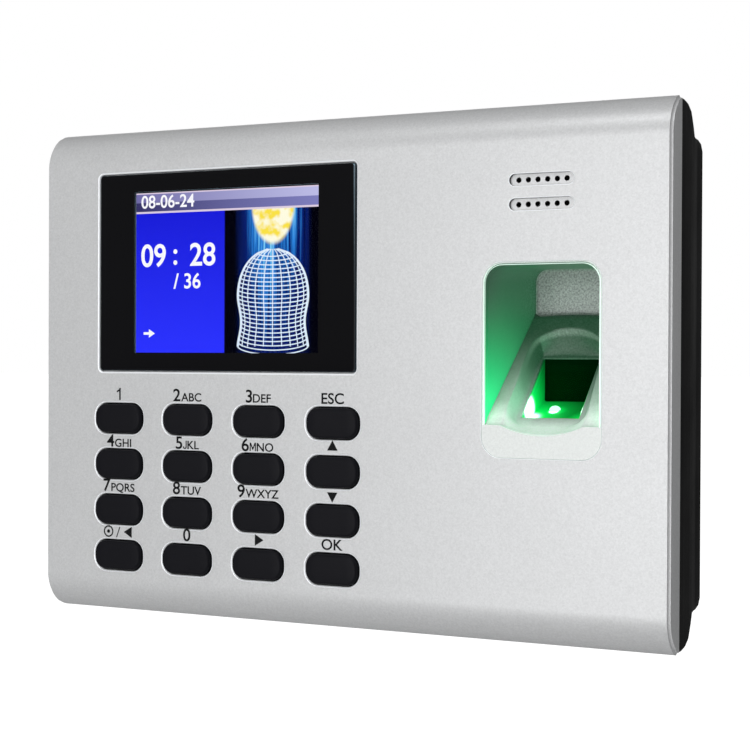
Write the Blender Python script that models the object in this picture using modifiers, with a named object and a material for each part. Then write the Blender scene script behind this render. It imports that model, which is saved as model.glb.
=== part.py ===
"""A wall-mounted fingerprint scanner terminal, modelled as the separate pieces it is assembled from.

X runs to the right of someone who faces the terminal, Z runs up, and Y runs from the face into the wall.
The origin is the centre of the wall plate's back face. Sizes in this file are in millimetres, and the
helpers turn them into metres. A depth is measured backwards from the flat front face, so the face is at
depth 0 and the wall is at depth DEPTH.
"""

import math

import bmesh
import bpy
from mathutils import Matrix, Vector

MM = 0.001

# Overall size
WIDTH = 180.0
DEPTH = 37.0
FLAT_HALF_HEIGHT = 56.0  # where the front face starts to curve back
EDGE_RADIUS = 10.0  # radius of the curved top and bottom edges
HALF_WIDTH = WIDTH / 2
HALF_HEIGHT = FLAT_HALF_HEIGHT + EDGE_RADIUS

# Front cover
COVER_DEPTH = 8.0
COVER_WALL = 2.4
GAP = 0.3  # running gap between neighbouring pieces

# Display, all centred on the same point
SCREEN_X, SCREEN_Z = -32.3, 26.7
WINDOW_WIDTH, WINDOW_HEIGHT = 79.7, 53.6
WINDOW_RECESS = 1.7
APERTURE_WIDTH, APERTURE_HEIGHT = 66.0, 49.0
LCD_WIDTH, LCD_HEIGHT = 64.0, 47.0
TRAY_WIDTH, TRAY_HEIGHT = 69.2, 50.6
TRAY_FRONT, TRAY_BACK = 2.8, 6.4

# Keypad
KEY_ROWS = (
    ("1", "2", "3", "esc"),
    ("4", "5", "6", "up"),
    ("7", "8", "9", "down"),
    ("left", "0", "right", "ok"),
)
KEY_LEFT, KEY_TOP = -65.4, -12.8
KEY_PITCH_X, KEY_PITCH_Z = 22.1, 12.4
KEY_WIDTH, KEY_HEIGHT, KEY_CORNER = 14.9, 7.75, 3.3
KEY_STROKE = 1.0
KEY_PROUD = 1.1
KEY_FLANGE_FRONT, KEY_FLANGE_BACK, KEY_FLANGE = 2.7, 3.5, 0.95
KEY_BASE = 6.4  # depth of a key's underside
MAT_FRONT = KEY_FLANGE_BACK + KEY_STROKE + 0.2
MAT_BACK = MAT_FRONT + 1.2
KEY_BOARD_FRONT = KEY_BASE + KEY_STROKE + 0.2
KEY_BOARD_BACK = KEY_BOARD_FRONT + 1.2
PAD_LEFT, PAD_RIGHT, PAD_BOTTOM, PAD_TOP = -74.4, 9.9, -56.4, -6.4

# Speaker
SPEAKER_X, SPEAKER_Z = 57.6, 43.9
SLOT_WIDTH, SLOT_HEIGHT, SLOT_SPACING, SLOT_DEPTH = 16.7, 2.9, 5.9, 1.0
SLOT_HOLES, HOLE_PITCH, HOLE_RADIUS = 6, 2.48, 0.68
SPEAKER_RADIUS = 13.0

# Finger recess: its mouth in the face, and how it narrows towards its back wall
RECESS_X = 57.65
RECESS_HALF_WIDTH = 15.15
RECESS_TOP, RECESS_BOTTOM = 26.9, -19.9
RECESS_CORNER = 4.8
RECESS_DEPTH = 24.0
RECESS_BACK_HALF_WIDTH = 10.6
RAMP_START_DEPTH, RAMP_START_Z = 1.2, -12.2
RAMP_END_Z = 16.2
BEZEL_RIM = 0.45
BEZEL_WALL = 1.8
RAMP_WALL = 7.5  # vertical thickness under the ramp
TROUGH_START_Z = -15.3  # lowest line of the finger trough, which climbs at 45 degrees
TROUGH_HALF_WIDTH = 10.6
SENSOR_START_DEPTH = 6.3
SENSOR_WIDTH, SENSOR_LENGTH = 15.4, 19.6

# Rear shell and wall plate
SHELL_FRONT = 9.0
SHELL_WALL = 2.0
BACK_WALL_FRONT, BACK_WALL_BACK = 33.2, 35.2
SHELL_RIM = 36.4
PLATE_HALF_WIDTH, PLATE_HALF_HEIGHT, PLATE_THICKNESS = 82.0, 54.0, 1.5
PLATE_FRONT = DEPTH - PLATE_THICKNESS
BAY = (-46.0, 26.0, -46.0, -22.0)  # socket bay: left, right, bottom, top
CASE_SCREW_X, CASE_SCREW_Z = 79.0, 50.0
TAMPER_X, TAMPER_Z = 10.0, 20.0
TAMPER_STROKE = 1.5
TAMPER_INNER_END = 26.0  # depth of the plunger's end inside its switch
HOOK_X, HOOK_Z, HOOK_WIDTH = 45.0, 36.0, 10.0
LOCK_SCREW_DEPTH = 30.5

# Main board
BOARD_FRONT, BOARD_BACK = 19.0, 20.6
BOARD = (-72.0, 38.0, -50.0, 50.0)
BOARD_SCREWS = ((-67.0, -45.0), (33.0, -45.0), (-67.0, 45.0), (33.0, 45.0))


def clear_scene():
    for thing in list(bpy.data.objects):
        bpy.data.objects.remove(thing, do_unlink=True)


def make_collection(name):
    group = bpy.data.collections.new(name)
    bpy.context.scene.collection.children.link(group)
    return group


clear_scene()
PARTS = make_collection("fingerprint_terminal")
CUTTERS = make_collection("cutters")


# Geometry helpers


def place(x, depth, z):
    """A place in millimetres as a vector in metres."""
    return Vector((x, depth - DEPTH, z)) * MM


def arc(centre_a, centre_b, radius, start, end, steps):
    """Points on an arc, in degrees anticlockwise, as pairs."""
    angles = (math.radians(start + (end - start) * i / steps) for i in range(steps + 1))
    return [(centre_a + radius * math.cos(t), centre_b + radius * math.sin(t)) for t in angles]


def rounded_rectangle(left, right, bottom, top, radius, steps=4):
    """An outline with round corners, anticlockwise from the top right corner."""
    corners = (
        (right - radius, top - radius, 0),
        (left + radius, top - radius, 90),
        (left + radius, bottom + radius, 180),
        (right - radius, bottom + radius, 270),
    )
    return [p for a, b, start in corners for p in arc(a, b, radius, start, start + 90, steps)]


def centred(x, z, width, height, radius, steps=4):
    half_width, half_height = width / 2, height / 2
    return rounded_rectangle(x - half_width, x + half_width, z - half_height, z + half_height, radius, steps)


def circle(x, z, radius, steps=12):
    return arc(x, z, radius, 0, 360 - 360 / steps, steps - 1)


def add_object(name, mesh, group=None):
    thing = bpy.data.objects.new(name, mesh)
    (group or PARTS).objects.link(thing)
    return thing


def mesh_from_curve(curve_object):
    """Turns a curve object into a mesh object with its caps welded on."""
    bpy.context.view_layer.update()
    evaluated = curve_object.evaluated_get(bpy.context.evaluated_depsgraph_get())
    mesh = bpy.data.meshes.new_from_object(evaluated)
    name, matrix = curve_object.name, curve_object.matrix_world.copy()
    group = curve_object.users_collection[0]
    bpy.data.objects.remove(curve_object)
    shape = bmesh.new()
    shape.from_mesh(mesh)
    bmesh.ops.remove_doubles(shape, verts=shape.verts, dist=1e-6)
    bmesh.ops.recalc_face_normals(shape, faces=shape.faces)
    shape.to_mesh(mesh)
    shape.free()
    thing = add_object(name, mesh, group)
    thing.name = name
    thing.matrix_world = matrix
    return thing


def extrude_outlines(name, outlines, thickness, matrix, group=None):
    """A flat plate of even thickness. The first outline is its edge, and the others are holes in it."""
    curve = bpy.data.curves.new(name, "CURVE")
    curve.dimensions = "2D"
    curve.fill_mode = "BOTH"
    curve.extrude = thickness / 2 * MM
    for outline in outlines:
        spline = curve.splines.new("POLY")
        spline.points.add(len(outline) - 1)
        for spline_point, (a, b) in zip(spline.points, outline):
            spline_point.co = (a * MM, b * MM, 0, 1)
        spline.use_cyclic_u = True
    thing = add_object(name, curve, group)
    thing.matrix_world = matrix
    return mesh_from_curve(thing)


def front_plate(name, outlines, front, back, group=None):
    """A plate parallel to the face. Its outlines are in X and Z."""
    matrix = Matrix.Translation(place(0, (front + back) / 2, 0)) @ Matrix.Rotation(math.pi / 2, 4, "X")
    return extrude_outlines(name, outlines, back - front, matrix, group)


def side_plate(name, outline, left, right, group=None):
    """A plate square to X. Its outline is in depth and Z."""
    turn = Matrix(((0, 0, 1, 0), (1, 0, 0, 0), (0, 1, 0, 0), (0, 0, 0, 1)))
    matrix = Matrix.Translation(place((left + right) / 2, 0, 0)) @ turn
    return extrude_outlines(name, [outline], right - left, matrix, group)


def box(name, left, right, front, back, bottom, top, group=None):
    shape = bmesh.new()
    bmesh.ops.create_cube(shape, size=1)
    size = Vector((right - left, back - front, top - bottom)) * MM
    bmesh.ops.scale(shape, vec=size, verts=shape.verts)
    mesh = bpy.data.meshes.new(name)
    shape.to_mesh(mesh)
    shape.free()
    thing = add_object(name, mesh, group)
    thing.location = place((left + right) / 2, (front + back) / 2, (bottom + top) / 2)
    return thing


def loft(name, sections, origin=Vector(), group=None):
    """A closed solid through sections with equal numbers of points, in metres."""
    shape = bmesh.new()
    rings = [[shape.verts.new(p - origin) for p in section] for section in sections]
    count = len(rings[0])
    for ring, following in zip(rings, rings[1:]):
        for i in range(count):
            j = (i + 1) % count
            shape.faces.new((ring[i], ring[j], following[j], following[i]))
    shape.faces.new(rings[0])
    shape.faces.new(rings[-1])
    bmesh.ops.recalc_face_normals(shape, faces=shape.faces)
    mesh = bpy.data.meshes.new(name)
    shape.to_mesh(mesh)
    shape.free()
    thing = add_object(name, mesh, group)
    thing.location = origin
    return thing


def turned(name, profile, location, rotation=(0, 0, 0), steps=16, group=None):
    """A turned solid. Its profile holds (radius, height) pairs from the top of the axis down the outside."""
    mesh = bpy.data.meshes.new(name)
    points = [(radius * MM, 0, height * MM) for radius, height in profile]
    mesh.from_pydata(points, [(i, i + 1) for i in range(len(points) - 1)], [])
    thing = add_object(name, mesh, group)
    screw = thing.modifiers.new("turn", "SCREW")
    screw.steps = screw.render_steps = steps
    screw.use_merge_vertices = True
    screw.merge_threshold = 1e-5
    screw.use_smooth_shade = True
    thing.location = location
    thing.rotation_euler = rotation
    return thing


FACING_FRONT = (math.pi / 2, 0, 0)  # a turned piece's top faces the front
FACING_BACK = (-math.pi / 2, 0, 0)
FACING_DOWN = (math.pi, 0, 0)


def cable(name, points, radius):
    """A round wire through points in metres."""
    curve = bpy.data.curves.new(name, "CURVE")
    curve.dimensions = "3D"
    curve.bevel_depth = radius * MM
    curve.bevel_resolution = 2
    curve.use_fill_caps = True
    spline = curve.splines.new("POLY")
    spline.points.add(len(points) - 1)
    for spline_point, position in zip(spline.points, points):
        spline_point.co = (*position, 1)
    return mesh_from_curve(add_object(name, curve))


def boolean(thing, tools, operation):
    """Cuts thing with every tool, or joins every tool to it."""
    group = bpy.data.collections.new(f"{thing.name}_{operation.lower()}")
    CUTTERS.children.link(group)
    for tool in tools:
        for old in list(tool.users_collection):
            old.objects.unlink(tool)
        group.objects.link(tool)
        tool.display_type = "WIRE"
        tool.hide_render = True
    change = thing.modifiers.new(operation.lower(), "BOOLEAN")
    change.operation = operation
    change.operand_type = "COLLECTION"
    change.collection = group
    change.solver = "EXACT"


def cut(thing, *tools):
    boolean(thing, tools, "DIFFERENCE")


def join(thing, *tools):
    boolean(thing, tools, "UNION")


def paint(thing, colour, roughness, metallic=0.0, glow=0.0):
    """Gives thing its own material."""
    material = bpy.data.materials.new(thing.name)
    material.use_nodes = True
    surface = material.node_tree.nodes["Principled BSDF"]
    surface.inputs["Base Color"].default_value = (*colour, 1)
    surface.inputs["Roughness"].default_value = roughness
    surface.inputs["Metallic"].default_value = metallic
    surface.inputs["Emission Color"].default_value = (*colour, 1)
    surface.inputs["Emission Strength"].default_value = glow
    thing.data.materials.clear()
    thing.data.materials.append(material)
    return thing


SILVER = (0.62, 0.63, 0.63)
BLACK_PLASTIC = (0.012, 0.012, 0.014)
BLACK_RUBBER = (0.014, 0.014, 0.017)
STEEL = (0.55, 0.55, 0.56)
BOARD_GREEN = (0.02, 0.13, 0.05)


# Front cover


def edge_profile(radius, back, steps):
    """Half of the cover's side view, from the flat face round the top edge to the depth `back`."""
    last = math.degrees(math.acos((EDGE_RADIUS - back) / radius))
    angles = (math.radians(last * i / steps) for i in range(steps + 1))
    return [(EDGE_RADIUS - radius * math.cos(t), FLAT_HALF_HEIGHT + radius * math.sin(t)) for t in angles]


def side_view(radius, back, steps=8):
    top = edge_profile(radius, back, steps)
    return top + [(depth, -z) for depth, z in reversed(top)]


def key_centres():
    for row, names in enumerate(KEY_ROWS):
        for column, name in enumerate(names):
            yield name, KEY_LEFT + column * KEY_PITCH_X, KEY_TOP - row * KEY_PITCH_Z


def key_openings(steps=3):
    """The holes that the keys pass through, 0.35 mm clear of them all round."""
    width, height, corner = KEY_WIDTH + 0.7, KEY_HEIGHT + 0.7, KEY_CORNER + 0.35
    return [centred(x, z, width, height, corner, steps) for _, x, z in key_centres()]


def recess_mouth(extra, steps=4):
    """The outline of the recess in the face, grown by extra on every side."""
    return rounded_rectangle(
        RECESS_X - RECESS_HALF_WIDTH - extra,
        RECESS_X + RECESS_HALF_WIDTH + extra,
        RECESS_BOTTOM - extra,
        RECESS_TOP + extra,
        RECESS_CORNER + extra,
        steps,
    )


def speaker_slot_cutters():
    cutters = []
    for row in (-0.5, 0.5):
        z = SPEAKER_Z + row * SLOT_SPACING
        slot = centred(SPEAKER_X, z, SLOT_WIDTH, SLOT_HEIGHT, SLOT_HEIGHT / 2 - 0.01)
        cutters.append(front_plate("slot_cutter", [slot], -1, SLOT_DEPTH, CUTTERS))
        for i in range(SLOT_HOLES):
            x = SPEAKER_X + (i - (SLOT_HOLES - 1) / 2) * HOLE_PITCH
            hole = circle(x, z, HOLE_RADIUS, 8)
            cutters.append(front_plate("hole_cutter", [hole], 0.5, COVER_WALL + 1, CUTTERS))
    return cutters


def corner_places():
    return [(sx * CASE_SCREW_X, sz * CASE_SCREW_Z) for sx in (-1, 1) for sz in (-1, 1)]


def make_front_cover():
    cover = side_plate("front_cover", side_view(EDGE_RADIUS, COVER_DEPTH), -HALF_WIDTH, HALF_WIDTH)
    inside_half = HALF_WIDTH - COVER_WALL
    inner_view = side_view(EDGE_RADIUS - COVER_WALL, COVER_DEPTH + 0.6)
    cut(cover, side_plate("cover_hollow", inner_view, -inside_half, inside_half, CUTTERS))
    bosses = [
        front_plate("boss", [circle(x, z, 3.2), circle(x, z, 1.7)], COVER_WALL - 0.4, BOARD_BACK, CUTTERS)
        for x, z in corner_places()
    ]
    join(cover, *bosses)
    window = centred(SCREEN_X, SCREEN_Z, WINDOW_WIDTH, WINDOW_HEIGHT, 1.2)
    aperture = centred(SCREEN_X, SCREEN_Z, APERTURE_WIDTH, APERTURE_HEIGHT, 1.0)
    through = [front_plate("key_cutter", [hole], -1, COVER_WALL + 1, CUTTERS) for hole in key_openings()]
    mouth = recess_mouth(BEZEL_RIM + 0.15)
    through.append(front_plate("recess_cutter", [mouth], -1, COVER_WALL + 1, CUTTERS))
    through.append(front_plate("window_cutter", [window], -1, WINDOW_RECESS, CUTTERS))
    through.append(front_plate("aperture_cutter", [aperture], 1, COVER_WALL + 1, CUTTERS))
    cut(cover, *through, *speaker_slot_cutters())
    return paint(cover, SILVER, 0.38, 0.6)


# Display


def make_display():
    def screen_outline(width, height, radius):
        return centred(SCREEN_X, SCREEN_Z, width, height, radius)

    window = screen_outline(WINDOW_WIDTH - 2 * GAP, WINDOW_HEIGHT - 2 * GAP, 1.0)
    paint(front_plate("display_window", [window], 0.1, 1.1), (0.006, 0.006, 0.008), 0.05)
    outer_edge = screen_outline(WINDOW_WIDTH - 1.4, WINDOW_HEIGHT - 1.4, 1.0)
    inner_edge = screen_outline(65.0, 50.2, 0.8)
    paint(front_plate("window_adhesive", [outer_edge, inner_edge], 1.2, 1.6), BLACK_RUBBER, 0.8)
    lcd = screen_outline(LCD_WIDTH, LCD_HEIGHT, 0.5)
    paint(front_plate("lcd_panel", [lcd], TRAY_FRONT, TRAY_FRONT + 1.4), (0.02, 0.03, 0.6), 0.1, glow=1.0)
    tray = front_plate("lcd_tray", [screen_outline(TRAY_WIDTH, TRAY_HEIGHT, 1.0)], TRAY_FRONT, TRAY_BACK)
    pocket = screen_outline(LCD_WIDTH + 2 * GAP, LCD_HEIGHT + 2 * GAP, 0.8)
    cut(tray, front_plate("tray_pocket", [pocket], TRAY_FRONT - 1, TRAY_FRONT + 1.4 + GAP, CUTTERS))
    paint(tray, (0.3, 0.3, 0.31), 0.4, 0.7)


def ribbon(name, path, width, x, thickness=0.3):
    """A flat cable: a band of even thickness along a path in depth and Z, extruded along X."""
    half = thickness / 2
    sides = ([], [])
    for i, (depth, z) in enumerate(path):
        before, after = path[max(i - 1, 0)], path[min(i + 1, len(path) - 1)]
        run, rise = after[0] - before[0], after[1] - before[1]
        length = math.hypot(run, rise)
        across = (-rise / length * half, run / length * half)
        sides[0].append((depth + across[0], z + across[1]))
        sides[1].append((depth - across[0], z - across[1]))
    return side_plate(name, sides[0] + sides[1][::-1], x - width / 2, x + width / 2)


def make_lcd_cable():
    middle, reach = (TRAY_BACK + BOARD_FRONT) / 2, (BOARD_FRONT - TRAY_BACK) / 2 - GAP
    steps = 8
    path = [
        (middle + reach * (2 * i / steps - 1), SCREEN_Z - 4 * math.cos(math.pi * i / steps))
        for i in range(steps + 1)
    ]
    paint(ribbon("lcd_cable", path, 18, SCREEN_X + 8), (0.55, 0.28, 0.05), 0.45)


# Keypad


def key_sections():
    """The key's outline at each depth, from its underside to its crown: (depth, shrink)."""
    stages = (
        (KEY_BASE, 0.0),
        (KEY_FLANGE_BACK, 0.0),
        (KEY_FLANGE_BACK, -KEY_FLANGE),
        (KEY_FLANGE_FRONT, -KEY_FLANGE),
        (KEY_FLANGE_FRONT, 0.0),
        (-KEY_PROUD + 0.55, 0.0),
        (-KEY_PROUD + 0.16, 0.16),
        (-KEY_PROUD, 0.55),
    )
    for depth, shrink in stages:
        outline = centred(0, 0, KEY_WIDTH - 2 * shrink, KEY_HEIGHT - 2 * shrink, KEY_CORNER - shrink, 3)
        yield depth, outline


def make_keys():
    mesh = None
    for name, x, z in key_centres():
        origin = place(x, 0, z)
        if mesh is None:
            sections = [[place(x + a, depth, z + b) for a, b in outline] for depth, outline in key_sections()]
            key = loft(f"key_{name}", sections, origin)
            mesh = key.data
        else:
            key = add_object(f"key_{name}", mesh.copy())
            key.location = origin
        paint(key, BLACK_RUBBER, 0.45)


def make_keypad_mat():
    outlines = [rounded_rectangle(PAD_LEFT, PAD_RIGHT, PAD_BOTTOM, PAD_TOP, 2.0)] + key_openings(2)
    paint(front_plate("keypad_mat", outlines, MAT_FRONT, MAT_BACK), BLACK_RUBBER, 0.6)
    board = rounded_rectangle(PAD_LEFT, PAD_RIGHT, PAD_BOTTOM, PAD_TOP, 1.0, 2)
    paint(front_plate("keypad_board", [board], KEY_BOARD_FRONT, KEY_BOARD_BACK), BOARD_GREEN, 0.4)


# Speaker


def ring_profile(outer, inner, top, bottom):
    return [(inner, top), (outer, top), (outer, bottom), (inner, bottom), (inner, top)]


def make_speaker():
    centre = place(SPEAKER_X, 0, SPEAKER_Z)
    foam = ring_profile(SPEAKER_RADIUS, SPEAKER_RADIUS - 2.0, -2.7, -3.4)
    paint(turned("speaker_foam", foam, centre, FACING_FRONT, 24), (0.03, 0.03, 0.03), 0.9)
    rim = SPEAKER_RADIUS
    basket = [(rim - 1.5, -3.7), (rim, -3.7), (rim, -5.0), (8.0, -8.2), (0, -8.2)]
    basket += [(0, -7.4), (7.6, -7.4), (rim - 1.5, -4.8), (rim - 1.5, -3.7)]
    paint(turned("speaker_basket", basket, centre, FACING_FRONT, 24), (0.1, 0.1, 0.1), 0.5)
    cone = [(0, -5.4), (3.0, -5.6), (4.0, -6.3), (rim - 2.0, -4.1), (rim - 2.0, -4.4), (4.0, -6.7), (0, -6.7)]
    paint(turned("speaker_cone", cone, centre, FACING_FRONT, 24), (0.04, 0.04, 0.05), 0.7)
    magnet = [(0, -8.5), (7.0, -8.5), (7.0, -12.0), (0, -12.0)]
    paint(turned("speaker_magnet", magnet, centre, FACING_FRONT, 20), STEEL, 0.3, 1.0)
    path = [
        place(SPEAKER_X - 9.5, 10.0, SPEAKER_Z),
        place(SPEAKER_X - 12.0, 14.0, SPEAKER_Z - 1),
        place(SPEAKER_X - 20.0, 17.0, SPEAKER_Z - 3),
        place(BOARD[1] - 4.0, 17.6, SPEAKER_Z - 4),
    ]
    paint(cable("speaker_cable", path, 0.8), (0.5, 0.03, 0.03), 0.5)


# Finger recess and sensor


def ramp_z(depth):
    slope = (RAMP_END_Z - RAMP_START_Z) / (RECESS_DEPTH - RAMP_START_DEPTH)
    return RAMP_START_Z + slope * (depth - RAMP_START_DEPTH)


def recess_half_width(depth):
    return RECESS_HALF_WIDTH - (RECESS_HALF_WIDTH - RECESS_BACK_HALF_WIDTH) * depth / RECESS_DEPTH


def recess_section(depth, bottom, side, ceiling):
    """The recess at one depth: square bottom corners on the ramp and round top corners."""
    half, top = recess_half_width(depth) + side, RECESS_TOP - 0.02 * depth + ceiling
    radius = RECESS_CORNER - 1.6 * depth / RECESS_DEPTH
    outline = [(-half, bottom), (half, bottom)]
    outline += arc(half - radius, top - radius, radius, 0, 90, 4)
    outline += arc(radius - half, top - radius, radius, 90, 180, 4)
    return [place(RECESS_X + x, depth, z) for x, z in outline]


def sensor_frame():
    """A matrix with its origin where the trough meets the sensor's lower edge, X across, Y up the slope
    and Z out of the glass. The slope climbs at 45 degrees."""
    lift = SENSOR_START_DEPTH - RAMP_START_DEPTH
    origin = place(RECESS_X, SENSOR_START_DEPTH, TROUGH_START_Z + lift)
    return Matrix.Translation(origin) @ Matrix.Rotation(math.pi / 4, 4, "X")


def sensor_block(name, half_width, start, end, bottom, top, group=None):
    """A box in the sensor's own frame."""
    thing = box(name, -half_width, half_width, -(end - start) / 2, (end - start) / 2, bottom, top, group)
    middle = Vector((0, (start + end) / 2, (bottom + top) / 2)) * MM
    thing.location = Vector()
    thing.matrix_world = sensor_frame() @ Matrix.Translation(middle)
    return thing


def trough_cutter():
    """A U-shaped channel down the ramp, which closes in an arch at its top end."""
    stations = (  # depth, share of the full width, lift of the lowest line
        (-1.2, 1.06, 0),
        (1.2, 1.0, 0),
        (12.0, 0.96, 0),
        (19.8, 0.92, 0),
        (21.2, 0.74, 3.2),
        (22.0, 0.4, 6.0),
    )
    sections = []
    for depth, spread, lift in stations:
        lowest = TROUGH_START_Z + (depth - RAMP_START_DEPTH) + lift
        surface = ramp_z(depth)
        half = TROUGH_HALF_WIDTH * spread
        section = [place(RECESS_X + half, depth, surface + 2.0), place(RECESS_X - half, depth, surface + 2.0)]
        for i in range(9):
            t = math.pi * i / 8
            across, down = math.cos(t), math.sin(t) ** 0.8
            section.append(place(RECESS_X - half * across, depth, surface + (lowest - surface) * down))
        sections.append(section)
    return loft("trough_cutter", sections, group=CUTTERS)


def make_sensor_bezel():
    bezel = front_plate("sensor_bezel", [recess_mouth(BEZEL_RIM)], 0.1, 3.6)
    flange = front_plate("bezel_flange", [recess_mouth(2.6)], COVER_WALL + GAP, 4.0, CUTTERS)
    tub_front, tub_back = 3.0, RECESS_DEPTH + BEZEL_WALL
    tub_sections = [
        recess_section(tub_front, ramp_z(tub_front) - RAMP_WALL, BEZEL_WALL, 1.4),
        recess_section(tub_back, RAMP_END_Z - RAMP_WALL, BEZEL_WALL, 1.4),
    ]
    join(bezel, flange, loft("bezel_tub", tub_sections, group=CUTTERS))
    pocket_sections = [
        recess_section(-0.5, RAMP_START_Z - 0.6, 0, 0),
        recess_section(RAMP_START_DEPTH, RAMP_START_Z, 0, 0),
        recess_section(RECESS_DEPTH, RAMP_END_Z, 0, 0),
    ]
    pocket = loft("pocket", pocket_sections, group=CUTTERS)
    opening = sensor_block("sensor_opening", SENSOR_WIDTH / 2, 0, SENSOR_LENGTH, -4, 6, CUTTERS)
    seat = sensor_block("sensor_seat", 10.5, -3.4, SENSOR_LENGTH + 3.4, -16, -1.0, CUTTERS)
    cut(bezel, pocket, trough_cutter(), opening, seat)
    return paint(bezel, (0.5, 0.53, 0.51), 0.45)


def make_sensor():
    end = SENSOR_LENGTH
    paint(sensor_block("sensor_glass", 8.7, -1.2, end + 1.2, -2.7, -1.2), (0.02, 0.35, 0.08), 0.03, glow=0.3)
    housing = sensor_block("sensor_housing", 10.1, -3.0, end + 3.0, -12.0, -3.0)
    cut(housing, sensor_block("housing_well", 8.3, -0.8, end + 0.8, -14, 0, CUTTERS))
    paint(housing, BLACK_PLASTIC, 0.5)
    paint(sensor_block("sensor_board", 10.0, -2.5, end + 2.5, -13.3, -12.3), BOARD_GREEN, 0.4)
    paint(sensor_block("image_sensor", 3.5, 6.5, 13.5, -12.1, -9.8), (0.02, 0.02, 0.02), 0.3)
    for name, y in (("lower", 1.6), ("upper", end - 1.6)):
        led = sensor_block(f"sensor_light_{name}", 2.2, y - 0.9, y + 0.9, -12.1, -11.2)
        paint(led, (0.1, 1.0, 0.3), 0.3, glow=6.0)
    board = sensor_frame() @ Matrix.Translation(Vector((-10.8, 10, -12.8)) * MM)
    start = board.translation
    path = [
        start,
        start + Vector((-2.5, 0.5, 0.5)) * MM,
        place(BOARD[1] + 2.0, 23.5, -4),
        place(BOARD[1] - 4.0, 22.4, -4),
    ]
    paint(cable("sensor_cable", path, 0.9), (0.03, 0.03, 0.035), 0.5)


# Main board and what it carries


def make_main_board():
    holes = [circle(x, z, 1.6, 8) for x, z in BOARD_SCREWS]
    board = front_plate("main_board", [rounded_rectangle(*BOARD, 1.5, 2)] + holes, BOARD_FRONT, BOARD_BACK)
    paint(board, BOARD_GREEN, 0.4)
    back = BOARD_BACK + 0.2
    paint(box("processor", -14, 0, back, back + 1.4, -8, 6), (0.02, 0.02, 0.02), 0.3)
    cell = [(0, -15.6), (9.6, -15.6), (10.0, -16.0), (10.0, -18.6), (0, -18.6)]
    paint(turned("coin_cell", cell, place(-52, 0, 30), FACING_FRONT, 24), STEEL, 0.25, 1.0)
    screw = [(0, -17.4), (2.4, -17.4), (2.7, -18.7), (1.2, -18.7), (1.2, -26.0), (0, -26.0)]
    for i, (x, z) in enumerate(BOARD_SCREWS, 1):
        paint(turned(f"board_screw_{i}", screw, place(x, 0, z), FACING_FRONT, 12), STEEL, 0.3, 1.0)


def make_sockets():
    front, back, middle = BOARD_BACK + 0.2, 32.4, (BAY[2] + BAY[3]) / 2
    network = box("network_socket", -42, -26, front, back, middle - 7, middle + 7)
    plug = box("plug_cut", -40, -28, back - 9, back + 1, middle - 4, middle + 4, CUTTERS)
    latch = box("latch_cut", -36, -32, back - 9, back + 1, middle - 6, middle - 3.5, CUTTERS)
    join(plug, latch)
    cut(network, plug)
    paint(network, STEEL, 0.3, 1.0)
    usb = box("usb_socket", -22, -8, front, back, middle - 3.6, middle + 3.6)
    cut(usb, front_plate("usb_cut", [centred(-15, middle, 12.6, 5.2, 0.4, 1)], back - 9, back + 1, CUTTERS))
    paint(usb, STEEL, 0.3, 1.0)
    power = box("power_socket", -5, 5, front, back, middle - 5.5, middle + 5.5)
    barrel = ring_profile(3.1, 1.0, back + 1, back - 9)
    cut(power, turned("power_cut", barrel, place(0, 0, middle), FACING_BACK, 16, CUTTERS))
    paint(power, BLACK_PLASTIC, 0.5)
    terminals = box("terminal_block", 8, 24, front, back, middle - 5, middle + 5)
    openings = []
    for x in (10.7, 16.0, 21.3):
        way, head = centred(x, middle - 2, 3.4, 4.2, 0.4, 1), circle(x, middle + 2.8, 1.3, 8)
        openings.append(front_plate("way_cut", [way], back - 7, back + 1, CUTTERS))
        openings.append(front_plate("head_cut", [head], back - 1, back + 1, CUTTERS))
    cut(terminals, *openings)
    paint(terminals, (0.02, 0.2, 0.06), 0.4)


def make_tamper_switch():
    front = BOARD_BACK + 0.2
    body = box("tamper_switch", TAMPER_X - 3, TAMPER_X + 3, front, 28, TAMPER_Z - 3, TAMPER_Z + 3)
    bore_floor = TAMPER_INNER_END - TAMPER_STROKE - 0.5
    cut(body, front_plate("plunger_bore", [circle(TAMPER_X, TAMPER_Z, 1.9)], bore_floor, 29, CUTTERS))
    paint(body, BLACK_PLASTIC, 0.5)
    top, bottom = PLATE_FRONT - GAP, TAMPER_INNER_END
    profile = [(0, top), (1.2, top), (1.5, top - 0.4), (1.5, bottom), (0, bottom)]
    plunger = turned("tamper_plunger", profile, place(TAMPER_X, 0, TAMPER_Z), FACING_BACK)
    paint(plunger, (0.6, 0.6, 0.58), 0.4)


# Rear shell


def shell_stages():
    """Depth, half width, half height and corner radius of the shell's outside, from its front rim back."""
    belly = [(SHELL_FRONT, 89.4, 65.7, 1.2), (12.0, 89.35, 65.7, 1.2), (15.0, 89.2, 65.4, 1.4)]
    belly += [(18.0, 89.0, 64.4, 1.8), (20.5, 88.7, 62.4, 2.6), (22.5, 88.4, 60.5, 3.2), (24.0, 88.1, 60.0, 3.5)]
    platform = [(27.0, 87.6, 59.9, 3.5), (28.0, 86.9, 59.8, 3.5), (34.2, 86.6, 59.5, 3.5)]
    return belly + platform + [(SHELL_RIM - 0.5, 86.2, 59.1, 3.5), (SHELL_RIM, 85.4, 58.3, 3.0)]


def shell_sections(stages, inset=0.0):
    sections = []
    for depth, half_width, half_height, radius in stages:
        width, height = 2 * (half_width - inset), 2 * (half_height - inset)
        outline = centred(0, 0, width, height, max(radius - inset, 0.6))
        sections.append([place(x, depth, z) for x, z in outline])
    return sections


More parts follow.
